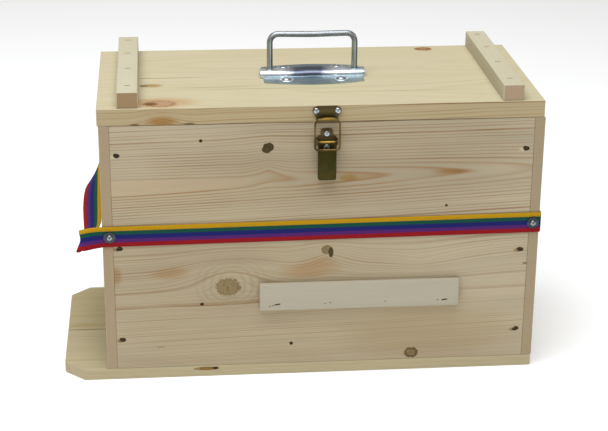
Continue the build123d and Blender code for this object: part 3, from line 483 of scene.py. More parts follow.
def webbing_cloth():
    """Polyester webbing, woven. Ribs 1.5 mm apart cross the band, which is coarser than the real 1 mm so
    that they show, and the stripes' borders are toothed by the weave. Dull, with a faint sheen."""
    material, add = new_material("polyester_webbing")
    place = add("UVMap", uv_map="weave")
    place = add("VectorMath", {0: place, "Scale": 1000.0}, operation="SCALE")
    split = add("SeparateXYZ", place, out=None)
    along, across = split[0], split[1]
    rib = add("Math", along, 2 * math.pi / 1.5, operation="MULTIPLY")
    yarn = add("Math", across, 1 / 0.84, operation="MULTIPLY")
    column = add("Math", yarn, operation="FLOOR")
    rib = add("Math", column, math.pi, rib, operation="MULTIPLY_ADD")
    rib = add("Math", rib, operation="SINE")
    rib = add("MapRange", rib, -1.0, 1.0)
    tooth = add("Math", rib, 0.55, across, operation="MULTIPLY_ADD")
    tooth = add("Math", tooth, 1 / BAND_WIDTH, operation="MULTIPLY")
    dye = add("ValToRGB", tooth, stops=(
        (0.0, "98161e"), (0.235, "98161e"), (0.245, "57266e"), (0.405, "57266e"), (0.415, "20246c"),
        (0.62, "20246c"), (0.63, "17503f"), (0.81, "17503f"), (0.82, "c29413"), (1.0, "c29413")))
    groove = add("Math", yarn, operation="FRACT")
    groove = add("Math", groove, 0.5, operation="SUBTRACT")
    groove = add("Math", groove, operation="ABSOLUTE")
    groove = add("MapRange", groove, 0.3, 0.5, 1.0, 0.0)
    height = add("Math", rib, groove, operation="MULTIPLY")
    shade = add("MapRange", height, 0.0, 1.0, 0.68, 1.12)
    fuzz = add("TexNoise", {"Vector": place, "Scale": 3.0, "Detail": 2.0}, out="Fac")
    fuzz = add("MapRange", fuzz, 0.0, 1.0, 0.85, 1.15)
    shade = add("Math", shade, fuzz, operation="MULTIPLY")
    dye = add("VectorMath", {0: dye, "Scale": shade}, operation="SCALE")
    bump = add("Bump", {"Strength": 0.6, "Distance": 0.0003, "Height": height})
    shader = add("BsdfPrincipled", {"Base Color": dye, "Roughness": 0.85, "Normal": bump,
                                    "Specular IOR Level": 0.12, "Sheen Weight": 0.02})
    add("OutputMaterial", shader, out=None)
    return material


woven_band()


# Metals
LATCH_X = 2.2
HANDLE_X = -2.4
HANDLE_SCREWS = (27.5, 21.0)


def new_metal(name, scale, detail=3.0):
    """A metal's material, the function that adds nodes to it, and a grain of so many spots per metre."""
    material, add = new_material(name)
    place = add("TexCoord", out="Object")
    return material, add, add("TexNoise", {"Vector": place, "Scale": scale, "Detail": detail}, out="Fac")


def metal_surface(material, add, tint, grain, dull, relief=(0.12, 0.0002), metallic=1.0, worn=None, **more):
    """Closes a metal's material. The grain stands up a little, sets the roughness and wears the tint."""
    if worn:
        shade = add("MapRange", grain, 0.3, 0.7, *worn)
        tint = add("VectorMath", {0: tint, "Scale": shade}, operation="SCALE")
    height = add("Bump", {"Strength": relief[0], "Distance": relief[1], "Height": grain})
    sockets = {"Base Color": tint, "Metallic": metallic, "Normal": height, **more}
    sockets["Roughness"] = add("MapRange", grain, *dull)
    add("OutputMaterial", add("BsdfPrincipled", sockets), out=None)
    return material


def zinc_plating(name, tones):
    """Zinc plated steel: bluish grey with a faint mottle and duller spots."""
    material, add, mottle = new_metal(name, 260.0)
    tint = add("ValToRGB", mottle, stops=tuple(zip((0.3, 0.55, 0.75), tones)))
    return metal_surface(material, add, tint, mottle, (0.3, 0.75, 0.26, 0.42))


def handle_zinc():
    """The handle's plate, with painted reflections: its ridge is painted bright at both ends and dark
    between them, and a painted bright highlight rings each screw. The flange is pale grey blue, lighter
    towards its right end."""
    material, add, mottle = new_metal("zinc_plating_painted_reflections", 220.0)
    place = add("TexCoord", out="Object")
    wavy = add("TexNoise", {"Vector": place, "Scale": 60.0, "Detail": 1.0}, out="Fac")
    split = add("SeparateXYZ", place, out=None)
    along = add("Math", wavy, 0.012, split[0], operation="MULTIPLY_ADD")
    along = add("MapRange", along, -0.060, 0.064)
    # painted reflections along the ridge: bright at both ends, dark in the middle
    band = add("ValToRGB", along, stops=(
        (0.0, "c9d2d8"), (0.25, "f2f5f8"), (0.38, "6b707e"), (0.58, "656a7a"), (0.72, "eef2f6"),
        (0.95, "b6c6cd")))
    flange = add("ValToRGB", along, stops=(
        (0.0, "9fb0b6"), (0.3, "a9bcc4"), (0.5, "8ea2ad"), (0.75, "b4c6cc"), (1.0, "cfdde0")))
    raised = add("MapRange", split[2], 0.2872, 0.2886)
    tint = add("Mix", {0: raised, 6: flange, 7: band}, **IN_COLOUR)
    folded = add("VectorMath", place, (-HANDLE_X * MM, 0, 0), operation="ADD")
    folded = add("VectorMath", folded, operation="ABSOLUTE")
    folded = add("VectorMath", folded, tuple(Vector((*HANDLE_SCREWS, 0)) * MM), operation="SUBTRACT")
    folded = add("VectorMath", folded, (1000, 1000, 0), operation="MULTIPLY")
    folded = add("VectorMath", folded, out="Value", operation="LENGTH")
    # a painted highlight: a bright ring round each screw, darker inside it
    screw_ring_highlight_paint = add("ValToRGB", add("MapRange", folded, 0.0, 10.0), stops=(
        (0.0, "7f8f97"), (0.5, "74858e"), (0.56, "eef4f7"), (0.68, "f4f8fa"), (0.74, "8b9ba3")))
    near = add("MapRange", folded, 7.6, 7.0)
    tint = add("Mix", {0: near, 6: tint, 7: screw_ring_highlight_paint}, **IN_COLOUR)
    return metal_surface(material, add, tint, mottle, (0.3, 0.75, 0.3, 0.46), metallic=0.9,
                         worn=(0.92, 1.04))


def wire_zinc():
    """The bail's drawn wire, with reflections painted in by the way each face turns: a painted pale blue
    streak down its front, grey green at its sides, grey on top.
    """
    material, add, scuff = new_metal("zinc_wire_painted_reflections", 180.0)
    place = add("TexCoord", out="Object")
    facing = add("TexCoord", out="Normal")
    split = add("SeparateXYZ", facing, out=None)
    turned = add("MapRange", split[0], -1.0, 1.0)
    # painted reflections on the upright faces, by how far each face turns to the side
    leg = add("ValToRGB", turned, stops=(
        (0.0, "8f907c"), (0.22, "b5b7a6"), (0.38, "5f686e"), (0.52, "c3d6e4"), (0.68, "8fa2b0"),
        (0.8, "4a5158"), (1.0, "9a9c8c")))
    tilt = add("MapRange", split[2], -1.0, 1.0)
    # painted reflections on the top bar, by how far each face turns up or down
    bar = add("ValToRGB", tilt, stops=(
        (0.0, "6f7069"), (0.42, "74777a"), (0.58, "8b8f92"), (0.70, "dfe4e6"), (0.78, "7b7f82"),
        (1.0, "a2a6a8")))
    sideways = add("Math", split[2], operation="ABSOLUTE")
    level = add("MapRange", sideways, 0.05, 0.3)
    high = add("SeparateXYZ", place, out="Z")
    high = add("MapRange", high, 0.318, 0.325)
    level = add("Math", level, high, operation="MAXIMUM")
    tint = add("Mix", {0: level, 6: leg, 7: bar}, **IN_COLOUR)
    return metal_surface(material, add, tint, scuff, (0.3, 0.75, 0.24, 0.42), (0.08, 0.0002), 0.85,
                         (0.9, 1.08))


def passivated(name, stops, roughness=(0.34, 0.5), metal=0.75, painted_highlight=None):
    """Yellow passivated steel, from gold to olive and brown, in slow patches, with a fine grain. The last
    argument is a place and a reach in mm of a painted highlight, where the film is painted brighter and
    more golden."""
    material, add, grain = new_metal(name, 900.0, 2.0)
    place = add("TexCoord", out="Object")
    patch = add("TexNoise", {"Vector": place, "Scale": 70.0, "Detail": 2.0}, out="Fac")
    tint = add("ValToRGB", patch, stops=stops)
    # a painted highlight: the film turns brighter gold round the given place
    if painted_highlight:
        spot = add("VectorMath", place, tuple(Vector(painted_highlight[0]) * MM), operation="SUBTRACT")
        spot = add("VectorMath", spot, tuple(1000 / reach for reach in painted_highlight[1]), operation="MULTIPLY")
        spot = add("TexGradient", {"Vector": spot}, out="Fac", gradient_type="SPHERICAL")
        spot = add("MapRange", spot, 0.0, 0.5, interpolation_type="SMOOTHSTEP")
        tint = add("Mix", {0: spot, 6: tint, 7: colour("c9a23e")}, **IN_COLOUR)
    return metal_surface(material, add, tint, grain, (0.0, 1.0, *roughness), (0.1, 0.0001), metal,
                         (0.88, 1.1))


def dull_steel():
    """Bare drawn steel of nails and staples, grey brown where it has begun to rust."""
    material, add, rust = new_metal("dull_steel_wire", 500.0)
    tint = add("ValToRGB", rust, stops=((0.3, "2a2218"), (0.5, "3d3324"), (0.7, "5d513c")))
    faint = {"Specular IOR Level": 0.2}
    return metal_surface(material, add, tint, rust, (0.0, 1.0, 0.5, 0.75), (0.3, 0.0001), 0.5, **faint)


zinc = zinc_plating("bright_zinc_plating", ("a9b2ba", "c3cbd1", "b3bcc2"))
dull_zinc = zinc_plating("dull_zinc_plating", ("33393c", "474e51", "3c4346"))
worn_zinc = zinc_plating("worn_zinc_plating", ("868e95", "9ea6ac", "90989e"))
plate_zinc = handle_zinc()
bail_zinc = wire_zinc()
# the catch plate, with a painted highlight along the top of its rolled lip
catch_brown = passivated("catch_plate_brown", ((0.3, "4a3a24"), (0.5, "5d4a2b"), (0.7, "564f2c")),
                         painted_highlight=((LATCH_X + 1.0, -109.2, 273.6), (8.0, 2.6, 1.6)))
lever_olive = passivated("lever_olive", ((0.3, "352d08"), (0.5, "3f380d"), (0.7, "33340c")),
                         (0.42, 0.58), 0.8)
# the loop's gold, with a painted highlight along the top of the pivot pin
loop_gold = passivated("loop_gold", ((0.3, "5f4a20"), (0.5, "7d6430"), (0.7, "4c3c1c")),
                       painted_highlight=((LATCH_X, -108.2, 249.9), (13.0, 1.6, 1.4)))
steel = dull_steel()


# Shaping by hand. Lengths are in mm from here on, and points nearer than JOINED are one.
JOINED = 0.02


def pick_all():
    bpy.ops.mesh.select_all(action="SELECT")


def primitive(kind, name, **settings):
    """Adds a primitive, opens it for editing with all of it selected, and gives back its object."""
    bpy.ops.object.select_all(action="DESELECT")
    if "location" in settings:
        settings["location"] = tuple(Vector(settings["location"]) * MM)
    settings["rotation"] = [math.radians(angle) for angle in settings.get("rotation", (0, 0, 0))]
    for length in ("radius", "depth", "size"):
        if length in settings:
            settings[length] *= MM
    getattr(bpy.ops.mesh, "primitive_" + kind + "_add")(**settings)
    piece = bpy.context.object
    piece.name = piece.data.name = name
    bpy.ops.object.transform_apply(location=True, rotation=True, scale=True)
    bpy.ops.object.mode_set(mode="EDIT")
    pick_all()
    return piece


def pick(test, kind="VERT"):
    """Selects points, edges or faces by their middle in mm."""
    bpy.ops.mesh.select_mode(type=kind)
    bpy.ops.mesh.select_all(action="DESELECT")
    mesh = bpy.context.object.data
    shape = bmesh.from_edit_mesh(mesh)
    for part in {"VERT": shape.verts, "EDGE": shape.edges, "FACE": shape.faces}[kind]:
        corners = [part] if kind == "VERT" else part.verts
        middle = sum((corner.co for corner in corners), Vector()) / len(corners) / MM
        if test(*middle):
            part.select_set(True)
    shape.select_flush_mode()
    bmesh.update_edit_mesh(mesh)


def remove_faces(test):
    pick(test, "FACE")
    bpy.ops.mesh.delete(type="FACE")


def push(x, y, z):
    """Extrudes the selection by a step."""
    bpy.ops.mesh.extrude_region_move(TRANSFORM_OT_translate={"value": (x * MM, y * MM, z * MM)})


def shift(x, y, z):
    bpy.ops.transform.translate(value=(x * MM, y * MM, z * MM))


def scale(x, y, z, about):
    """Scales the selection about a point."""
    bpy.ops.transform.resize(value=(x, y, z), center_override=tuple(Vector(about) * MM))


def grow(steps, about=(0, 0, 0)):
    """Extrudes upwards in steps of a rise and a narrowing about the axis."""
    for rise, narrower in steps:
        push(0, 0, rise)
        if narrower != 1.0:
            scale(narrower, narrower, 1.0, about)


def spin(degrees, about, axis, steps):
    """Spins the selection on round an axis by the right-hand rule, where Blender goes by the left."""
    about = tuple(Vector(about) * MM)
    bpy.ops.mesh.spin(steps=steps, angle=-math.radians(degrees), center=about, axis=axis)


def edge_steps(*steps):
    """Extrudes an edge of the latch's plates through steps of a height and a half width, from the first."""
    for (height, half), (next_height, next_half) in zip(steps, steps[1:]):
        push(0, 0, next_height - height)
        scale(next_half / half, 1.0, 1.0, (LATCH_X, 0, 0))


def bent_wire(name, radius, corners, y, sides):
    """Half of a bent wire across the object, through corners of x, z and the radius of the bend there."""
    places = [Vector(corner[:2]) for corner in corners]
    heading = (places[1] - places[0]).normalized()
    lean = math.degrees(math.atan2(heading.x, heading.y))
    primitive("circle", name, vertices=sides, radius=radius, fill_type="NGON",
              location=(places[0].x, y, places[0].y), rotation=(0, lean, 0))
    here = places[0]
    for corner, after, bend in zip(places[1:], places[2:], [corner[2] for corner in corners[1:]]):
        onward = (after - corner).normalized()
        turn = math.remainder(math.atan2(onward.x, onward.y) - math.atan2(heading.x, heading.y), math.tau)
        start = corner - heading * bend * math.tan(abs(turn) / 2)
        middle = start + Vector((heading.y, -heading.x)) * math.copysign(bend, turn)
        push(start.x - here.x, 0, start.y - here.y)
        spin(math.degrees(turn), (middle.x, y, middle.y), (0, 1, 0), max(3, int(abs(turn) / 0.2)))
        here = corner + onward * bend * math.tan(abs(turn) / 2)
        heading = onward
    push(places[-1].x - here.x, 0, places[-1].y - here.y)


def both_sides():
    """Mirrors a half piece across its middle, where x is 0, and opens it there."""
    remove_faces(lambda x, y, z: abs(x) < JOINED)
    modify("MIRROR", use_axis=(True, False, False), use_clip=True, merge_threshold=JOINED * MM)


def inset(width):
    bpy.ops.mesh.inset(thickness=width * MM)


def modify(kind, **settings):
    """Puts a modifier on the piece at hand and applies it."""
    bpy.ops.object.mode_set(mode="OBJECT")
    piece = bpy.context.object
    modifier = piece.modifiers.new(kind.lower(), kind)
    for name, value in settings.items():
        setattr(modifier, name, value)
    bpy.ops.object.modifier_apply(modifier=modifier.name)
    bpy.ops.object.mode_set(mode="EDIT")


def mend():
    """Joins points that meet and turns the faces outwards."""
    bpy.ops.mesh.select_mode(type="VERT")
    pick_all()
    bpy.ops.mesh.remove_doubles(threshold=JOINED * MM)
    bpy.ops.mesh.normals_make_consistent(inside=False)


def edges_off(width, segments=2):
    """Takes off the sharp edges."""
    modify("BEVEL", width=width * MM, segments=segments, limit_method="ANGLE", angle_limit=math.radians(50))


def sheet_metal(thickness, edge):
    """Turns a bent face into sheet metal, half to each side, with its edges taken off."""
    mend()
    modify("SOLIDIFY", thickness=thickness * MM, offset=0.0, use_even_offset=True)
    edges_off(edge)


def at_place(x, y, z, way="up", turn=0.0):
    """A place whose +Z points up, down, to the front or to the back, turned about it by an angle."""
    tilt = {"up": 0, "down": 180, "front": 90, "back": -90}[way]
    place = Matrix.Translation(Vector((x, y, z)) * MM) @ Matrix.Rotation(math.radians(tilt), 4, "X")
    return place @ Matrix.Rotation(turn, 4, "Z")


def fit(piece, name, places, node, material):
    """Copies of a piece in their places as one object for a node. The pattern itself goes."""
    bpy.ops.object.mode_set(mode="OBJECT")
    bpy.ops.object.select_all(action="DESELECT")
    for place in places:
        copy = piece.copy()
        copy.data = piece.data.copy()
        copy.data.transform(place)
        bpy.context.scene.collection.objects.link(copy)
        copy.select_set(True)
        if place is places[0]:
            bpy.context.view_layer.objects.active = copy
    bpy.data.objects.remove(piece)
    bpy.ops.object.join()
    joined = bpy.context.object
    joined.name = joined.data.name = name
    bpy.ops.object.mode_set(mode="EDIT")
    finished(node, material)


BODY_OF = {node: body for body, held in frame["record"]["behaviour"]["bodies"].items() for node in held}


def finished(node, material):
    """Closes the piece at hand: faces outwards, smooth shading, its finish, its body and its node."""
    mend()
    bpy.ops.object.mode_set(mode="OBJECT")
    piece = bpy.context.object
    bpy.ops.object.shade_smooth_by_angle(angle=math.radians(40))
    piece.data.materials.clear()
    piece.data.materials.append(material)
    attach(piece, BODY_OF[node])
    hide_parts(node)
    bpy.ops.object.select_all(action="DESELECT")


# Screws, washers, nails and staples
def cross_tool(reach, depth, top):
    """The tapered cross that a screwdriver's tip leaves, pointing down from the top."""
    piece = primitive("cube", "cross_tool", size=2.0)
    scale(reach, reach * 0.28, depth, (0, 0, 0))
    shift(0, 0, top)
    pick(lambda x, y, z: z < top)
    scale(0.35, 0.35, 1.0, (0, 0, top))
    pick_all()
    bpy.ops.mesh.duplicate()
    bpy.ops.transform.rotate(value=math.radians(90), orient_axis="Z", center_override=(0, 0, 0))
    bpy.ops.object.mode_set(mode="OBJECT")
    return piece


def cut(piece, tool, **settings):
    """Cuts a tool's shape out of a piece and takes the tool away."""
    bpy.ops.object.select_all(action="DESELECT")
    bpy.context.view_layer.objects.active = piece
    piece.select_set(True)
    modify("BOOLEAN", object=tool, operation="DIFFERENCE", solver="EXACT", **settings)
    bpy.data.objects.remove(tool)


def driven(screw, reach, depth, top):
    """Cuts the cross recess into the screw's head."""
    bpy.ops.object.mode_set(mode="OBJECT")
    cut(screw, cross_tool(reach, depth, top), use_self=True)
    return screw


def pan_screw(radius, height, shank, length):
    """A pan head screw whose head stands on the origin."""
    screw = primitive("circle", "pan_screw", vertices=28, radius=radius, fill_type="NGON")
    grow((rise * height, narrower)
         for rise, narrower in ((0.40, 1.0), (0.24, 0.94), (0.18, 0.86), (0.11, 0.74), (0.07, 0.5)))
    mend()
    pick(lambda x, y, z: abs(z) < 0.01 and abs(x) < 0.01 and abs(y) < 0.01, "FACE")
    inset(radius - shank)
    grow(((-length * 0.8, 1.0), (-length * 0.2, 0.15)))
    mend()
    return driven(screw, radius * 0.62, height * 0.62, height * 1.02)


def countersunk_screw(radius, shank, length):
    """A countersunk screw whose flat head lies in the plane of the origin."""
    screw = primitive("circle", "countersunk_screw", vertices=28, radius=radius * 0.985, fill_type="NGON")
    grow(((-0.2, 1.0 / 0.985), (shank - radius, shank / radius), (0.8 * (radius - length), 1.0),
          (0.2 * (radius - length), 0.15)))
    mend()
    return driven(screw, radius * 0.6, 0.5 * radius, 0.05)


def washer(radius, hole, thickness):
    piece = primitive("circle", "washer", vertices=40, radius=radius, fill_type="NGON")
    inset(radius - hole)
    bpy.ops.mesh.delete(type="FACE")
    pick_all()
    push(0, 0, thickness)
    mend()
    edges_off(0.22)
    return piece


def flat_nail(radius, thickness, shank, length):
    """A flat head nail below the origin, its head a little domed by the hammer."""
    nail = primitive("circle", "nail", vertices=20, radius=radius * 0.8, fill_type="NGON")
    point = 3
    dome = 0.12
    grow(((-dome, 1.25), (dome - thickness, 1.0), (-0.05, shank / radius),
          (thickness - length + point, 1.0), (-point, 0.1)))
    return nail


def wire_staple(leg):
    """A staple of flat wire, 6 mm wide, with its crown along X just under the origin."""
    crown = 6.0
    wire = 1.2
    half = crown / 2
    staple = primitive("plane", "staple", size=wire, location=(half - wire, 0, -wire / 2),
                       rotation=(0, 90, 0))
    push(2 * wire - crown, 0, 0)
    spin(-90, (wire - half, 0, -wire), (0, 1, 0), 3)
    push(0, 0, -leg + 1.5 * wire)
    pick(lambda x, y, z: abs(x - half + wire) < 0.01, "FACE")
    spin(90, (half - wire, 0, -wire), (0, 1, 0), 3)
    push(0, 0, -leg + 1.5 * wire)
    mend()
    edges_off(0.12, 1)
    return staple


FRONT = -HALF_DEPTH
BACK = HALF_DEPTH
WALL_TOP = 268.5
LID_TOP = 285.5
BATTEN_TOP = LID_TOP + 16.0
BATTEN_MIDDLES = (-188.55, 184.55)
PANEL_MIDDLE = HALF_DEPTH - 9.0
WALL_MIDDLE = HALF_LENGTH - 10.0
SLAT_MIDDLE = (37.0, 87.4)
SLAT_THICKNESS = 6.0
SLAT_FACE = FRONT - SLAT_THICKNESS
SLAT_STAPLES = (-45.8, 4.8, 63.4, 123.0)
STAPLE_ROW = 79.8
STAPLE_LEAN = math.radians(9.0)


def strap_fixings():
    """Places on the band's face under the washers. At the back left the band lies double."""
    reach = HALF_LENGTH - 7.1
    cover = 1.65
    return [(x, y, band_height(x), way) for x, y, way in (
        (-reach, FRONT - cover, "front"), (reach, FRONT - cover, "front"),
        (reach, BACK + cover, "back"), (-reach, BACK + 2 * cover, "back"))]


def strap_hardware():
    thickness = 1.0
    places = [at_place(*place) for place in strap_fixings()]
    ring = washer(6.0, 1.8, thickness)
    fit(ring, "washers_of_the_strap", places, "strap_washers", dull_zinc)
    places = []
    for (x, y, z, way), turn in zip(strap_fixings(), (20, 62, 35, 5)):
        lifted = y - thickness if way == "front" else y + thickness
        places.append(at_place(x, lifted, z, way, math.radians(turn)))
    screw = pan_screw(2.9, 2.2, 1.6, 22.0)
    fit(screw, "screws_of_the_strap", places, "strap_screws", worn_zinc)


def panel_nails():
    for node, face, way, sink in (("front_nails", FRONT, "front", 0.6), ("back_nails", BACK, "back", -0.6)):
        places = [at_place(x, face + sink, z, way) for x, z in NAIL_PLACES]
        nail = flat_nail(2.6, 1.2, 1.3, 45.0)
        fit(nail, node.replace("nails", "panel_nails"), places, node, steel)


def all_staples():
    """The battens' staples, and the slat's, of which the two inner ones are driven in under its face."""
    places = [at_place(x, y, BATTEN_TOP) for x in BATTEN_MIDDLES for y in (-79.0, -19.0, 37.0, 88.0)]
    fit(wire_staple(24.0), "staples_of_the_battens", places, "batten_staples", steel)
    places = [at_place(x, SLAT_FACE + sunk, STAPLE_ROW, "front", STAPLE_LEAN)
              for x, sunk in zip(SLAT_STAPLES, (0.0, 0.5, 0.5, 0.0))]
    fit(wire_staple(16.0), "staples_of_the_slat", places, "slat_staples", steel)


def slat():
    """The slat, with its edges taken off and a slot for the crown of each outer staple."""
    middle = (SLAT_MIDDLE[0], FRONT - SLAT_THICKNESS / 2, SLAT_MIDDLE[1])
    board = primitive("cube", "stapled_slat", size=1.0, location=middle)
    scale(200.8, SLAT_THICKNESS, 28.0, middle)
    edges_off(0.5)
    for x in (SLAT_STAPLES[0], SLAT_STAPLES[-1]):
        bpy.ops.object.mode_set(mode="OBJECT")
        tool = primitive("cube", "slot_tool", size=1.0)
        scale(6.2, 1.4, 2.8, (0, 0, 0))
        edges_off(0.3, 1)
        bpy.ops.object.mode_set(mode="OBJECT")
        tool.data.transform(at_place(x, SLAT_FACE, STAPLE_ROW, "front", STAPLE_LEAN))
        cut(board, tool)
    finished("front_slat", wood_slat)


def board_screws():
    places = []
    for side in (-1, 1):
        for end in (-1, 1):
            places.append(at_place(end * (HALF_LENGTH - 77.0), side * PANEL_MIDDLE, 0.5, "down"))
            places.append(at_place(end * WALL_MIDDLE, side * (HALF_DEPTH - 48.0), 0.5, "down"))
    screw = countersunk_screw(3.9, 1.9, 36.0)
    fit(screw, "screws_under_the_base", places, "base_screws", zinc)


# Chest handle
BAIL_AXIS = LID_TOP + 3.5


def handle_plate():
    """The pressed plate: a round ridge, open at both ends and fuller in its middle, that grows out of a
    flat flange, with slots beside it for the bail's legs and a raised ring round each screw."""
    level = LID_TOP + 0.75
    half = 4.1
    edge = 26.5
    fuller = 36.0
    tip = 50.5
    stations = [fuller, 38.9, 47.3, 49.0, tip, 53.0]
    primitive("circle", "pressed_handle_plate", vertices=32, radius=half, fill_type="NOTHING",
              location=(-stations[-1], 0, BAIL_AXIS), rotation=(0, 90, 0))
    # the section: the upper half of a circle, its ends drawn down and out to the flange's edges
    pick(lambda x, y, z: z < BAIL_AXIS - 0.1)
    bpy.ops.mesh.delete(type="VERT")
    pick(lambda x, y, z: z < BAIL_AXIS + 0.1)
    push(0, 0, level + 0.8 - BAIL_AXIS)
    for wide, drop in ((4.35, -0.5), (4.9, -0.3), (13.0, 0.0), (edge, 0.0)):
        push(0, 0, drop)
        scale(1.0, wide / half, 1.0, (0, 0, 0))
        half = wide
    # drawn along the ridge and then, at each station, widened in a bow, swelled and raised
    pick_all()
    places = [-station for station in reversed(stations)] + list(np.linspace(-33, 33, 23)) + stations
    for before, here in zip(places, places[1:]):
        push(here - before, 0, 0)
    for here in places:
        swell = 0.5 + 0.5 * math.cos(math.pi * min(1.0, abs(here) / fuller))
        bow = (35.0 - 8.5 * (here / tip) ** 2) / edge
        corner = 0.94 if abs(here) == tip else 1.0
        pick(lambda x, y, z: abs(x - here) < 0.1 and abs(y) > 20)
        scale(1.0, bow * corner, 1.0, (0, 0, 0))
        pick(lambda x, y, z: abs(x - here) < 0.1 and abs(y) < 6)
        scale(1.0, 1 + 0.95 * swell, 1.0, (0, 0, 0))
        pick(lambda x, y, z: abs(x - here) < 0.1 and abs(y) < 10 and z > level + 0.1)
        scale(1.0, 1.0, 0.9 + 0.12 * swell, (0, 0, level))
        pick(lambda x, y, z: abs(x - here) < 0.1 and -12 < y < -0.5 and z < BAIL_AXIS + 9)
        scale(1.0, 2.1 - 0.95 * swell, 1.0, (0, 0, 0))
    # the flange's corners and the slots go
    remove_faces(lambda x, y, z: abs(x) > 50.6 and not -11.2 < y < 7)
    remove_faces(lambda x, y, z: 38.9 < abs(x) < 47.3 and -3.2 < y < 13)
    sheet_metal(1.5, 0.3)
    for side in (-1, 1):
        for end in (-1, 1):
            middle = Vector((side * HANDLE_SCREWS[0], end * HANDLE_SCREWS[1], LID_TOP + 1.3))
            bpy.ops.mesh.primitive_circle_add(vertices=32, radius=7.4 * MM, fill_type="NGON",
                                              location=middle * MM)
            grow(((0.45, 0.97), (0.35, 0.93), (0.05, 0.87), (-0.4, 0.9), (-0.25, 0.9)), middle)
    pick_all()
    shift(HANDLE_X, 0, 0)
    finished("handle_plate", plate_zinc)


def handle_bail():
    """The bail: round wire, bent square with rounded corners, its grip a little low in the middle."""
    top = BAIL_AXIS + 40.0
    corners = ((52.0, BAIL_AXIS, 0), (43.1, BAIL_AXIS, 4.2), (43.1, top, 8.5), (0.0, top - 0.8, 0))
    bent_wire("bail_of_the_handle", 3.0, corners, 0.0, 24)
    pick(lambda x, y, z: x > 51.9, "FACE")
    inset(0.4)
    push(0.3, 0, 0)
    both_sides()
    pick_all()
    shift(HANDLE_X, 0, 0)
    finished("handle_bail", bail_zinc)


def handle_screws():
    places = []
    for side, end, turn in ((-1, -1, 15), (1, -1, 50), (-1, 1, 30), (1, 1, 70)):
        x, y = HANDLE_X + side * HANDLE_SCREWS[0], end * HANDLE_SCREWS[1]
        places.append(at_place(x, y, LID_TOP + 1.5, "up", math.radians(turn)))
    screw = pan_screw(4.4, 2.4, 1.9, 15.0)
    fit(screw, "screws_of_the_handle", places, "handle_screws", zinc)


# Toggle latch
PIVOT_Y = FRONT - 5.2
PIVOT_Z = WALL_TOP - 19.0
EYE_Y = FRONT - 8.2
EYE_Z = PIVOT_Z - 7.0
LATCH_SHEET = 1.2
LATCH_PLANE = FRONT - LATCH_SHEET / 2


def latch_screw():
    return pan_screw(2.9, 1.8, 1.4, 15.0)


def flat_start(name, z, half):
    """A narrow strip on the front, its lower edge selected, from which a plate is drawn down."""
    middle = (LATCH_X, LATCH_PLANE, z - 0.05)
    primitive("plane", name, size=1.0, location=middle, rotation=(90, 0, 0))
    scale(2 * half, 1.0, 0.1, middle)
    pick(lambda px, py, pz: pz < z - 0.06, "EDGE")


def catch_plate():
    """The catch plate: two screw lobes, sides that taper below them, and the lower edge rolled up."""
    flat_start("catch_plate_with_lip", 284.9, 8.6)
    edge_steps((284.8, 8.6), (284.5, 9.4), (283.9, 10.2), (282.9, 12.6), (282.3, 13.3), (281.4, 13.75),
               (280.1, 13.9), (278.8, 13.75), (277.9, 13.3), (277.2, 12.7), (275.6, 11.6), (273.9, 10.9),
               (271.8, 10.4))
    spin(-180, (LATCH_X, FRONT - 3.1, 271.8), (1, 0, 0), 12)
    edge_steps((271.8, 10.4), (272.9, 10.2), (273.6, 9.5), (274.0, 8.6), (274.3, 7.2))
    sheet_metal(LATCH_SHEET, 0.3)
    finished("latch_catch_plate", catch_brown)
    places = [at_place(LATCH_X + side * 10.4, FRONT - LATCH_SHEET, 280.1, "front", turn)
              for side, turn in ((-1, 0.9), (1, 0.15))]
    fit(latch_screw(), "screws_of_the_catch", places, "latch_catch_screws", zinc)


def base_plate():
    """The base plate: a narrow screw tab above, two ears folded forwards for the pivot pin."""
    flat_start("latch_base_with_ears", 261.7, 3.6)
    edge_steps((261.6, 3.6), (261.3, 4.7), (260.6, 5.4), (259.6, 5.8), (258.6, 5.9), (255.5, 5.9),
               (253.4, 9.4), (252.5, 9.8), (246.5, 9.8), (245.6, 8.1), (229.5, 8.0), (228.2, 7.4),
               (227.5, 6.2))
    pick(lambda x, y, z: abs(abs(x - LATCH_X) - 9.8) < 0.01 and 246.6 < z < 252.4, "EDGE")
    push(0, PIVOT_Y - LATCH_PLANE, 0)
    for out, narrower in ((-1.2, 0.9), (-1.0, 0.78), (-0.55, 0.6), (-0.22, 0.4)):
        push(0, out, 0)
        scale(1.0, 1.0, narrower, (LATCH_X, 0, PIVOT_Z))
    sheet_metal(LATCH_SHEET, 0.3)
    finished("latch_base_plate", catch_brown)
    places = [at_place(LATCH_X, FRONT - LATCH_SHEET, height, "front", turn)
              for height, turn in ((257.1, 0.7), (243.3, 0.3))]
    fit(latch_screw(), "screws_of_the_base", places, "latch_base_screws", zinc)


def riveted_pin(name, middle, half, ends):
    """A pin along X, its ends riveted over into low domes in steps of a way outwards and a widening."""
    x, y, z = middle
    primitive("circle", name, vertices=20, radius=1.2, fill_type="NGON", location=(x - half, y, z),
              rotation=(0, 90, 0))
    push(2 * half, 0, 0)
    mend()
    for side in (-1, 1):
        pick(lambda px, py, pz: side * (px - x) > half - 0.1, "FACE")
        for out, wide in ends:
            push(side * out, 0, 0)
            scale(1.0, wide, wide, (0, y, z))


def pivot_pin():
    riveted_pin("latch_pin", (LATCH_X, PIVOT_Y, PIVOT_Z), 10.3, ((0.0, 1.4), (0.2, 1.0), (0.15, 0.7)))
    finished("latch_pivot_pin", loop_gold)


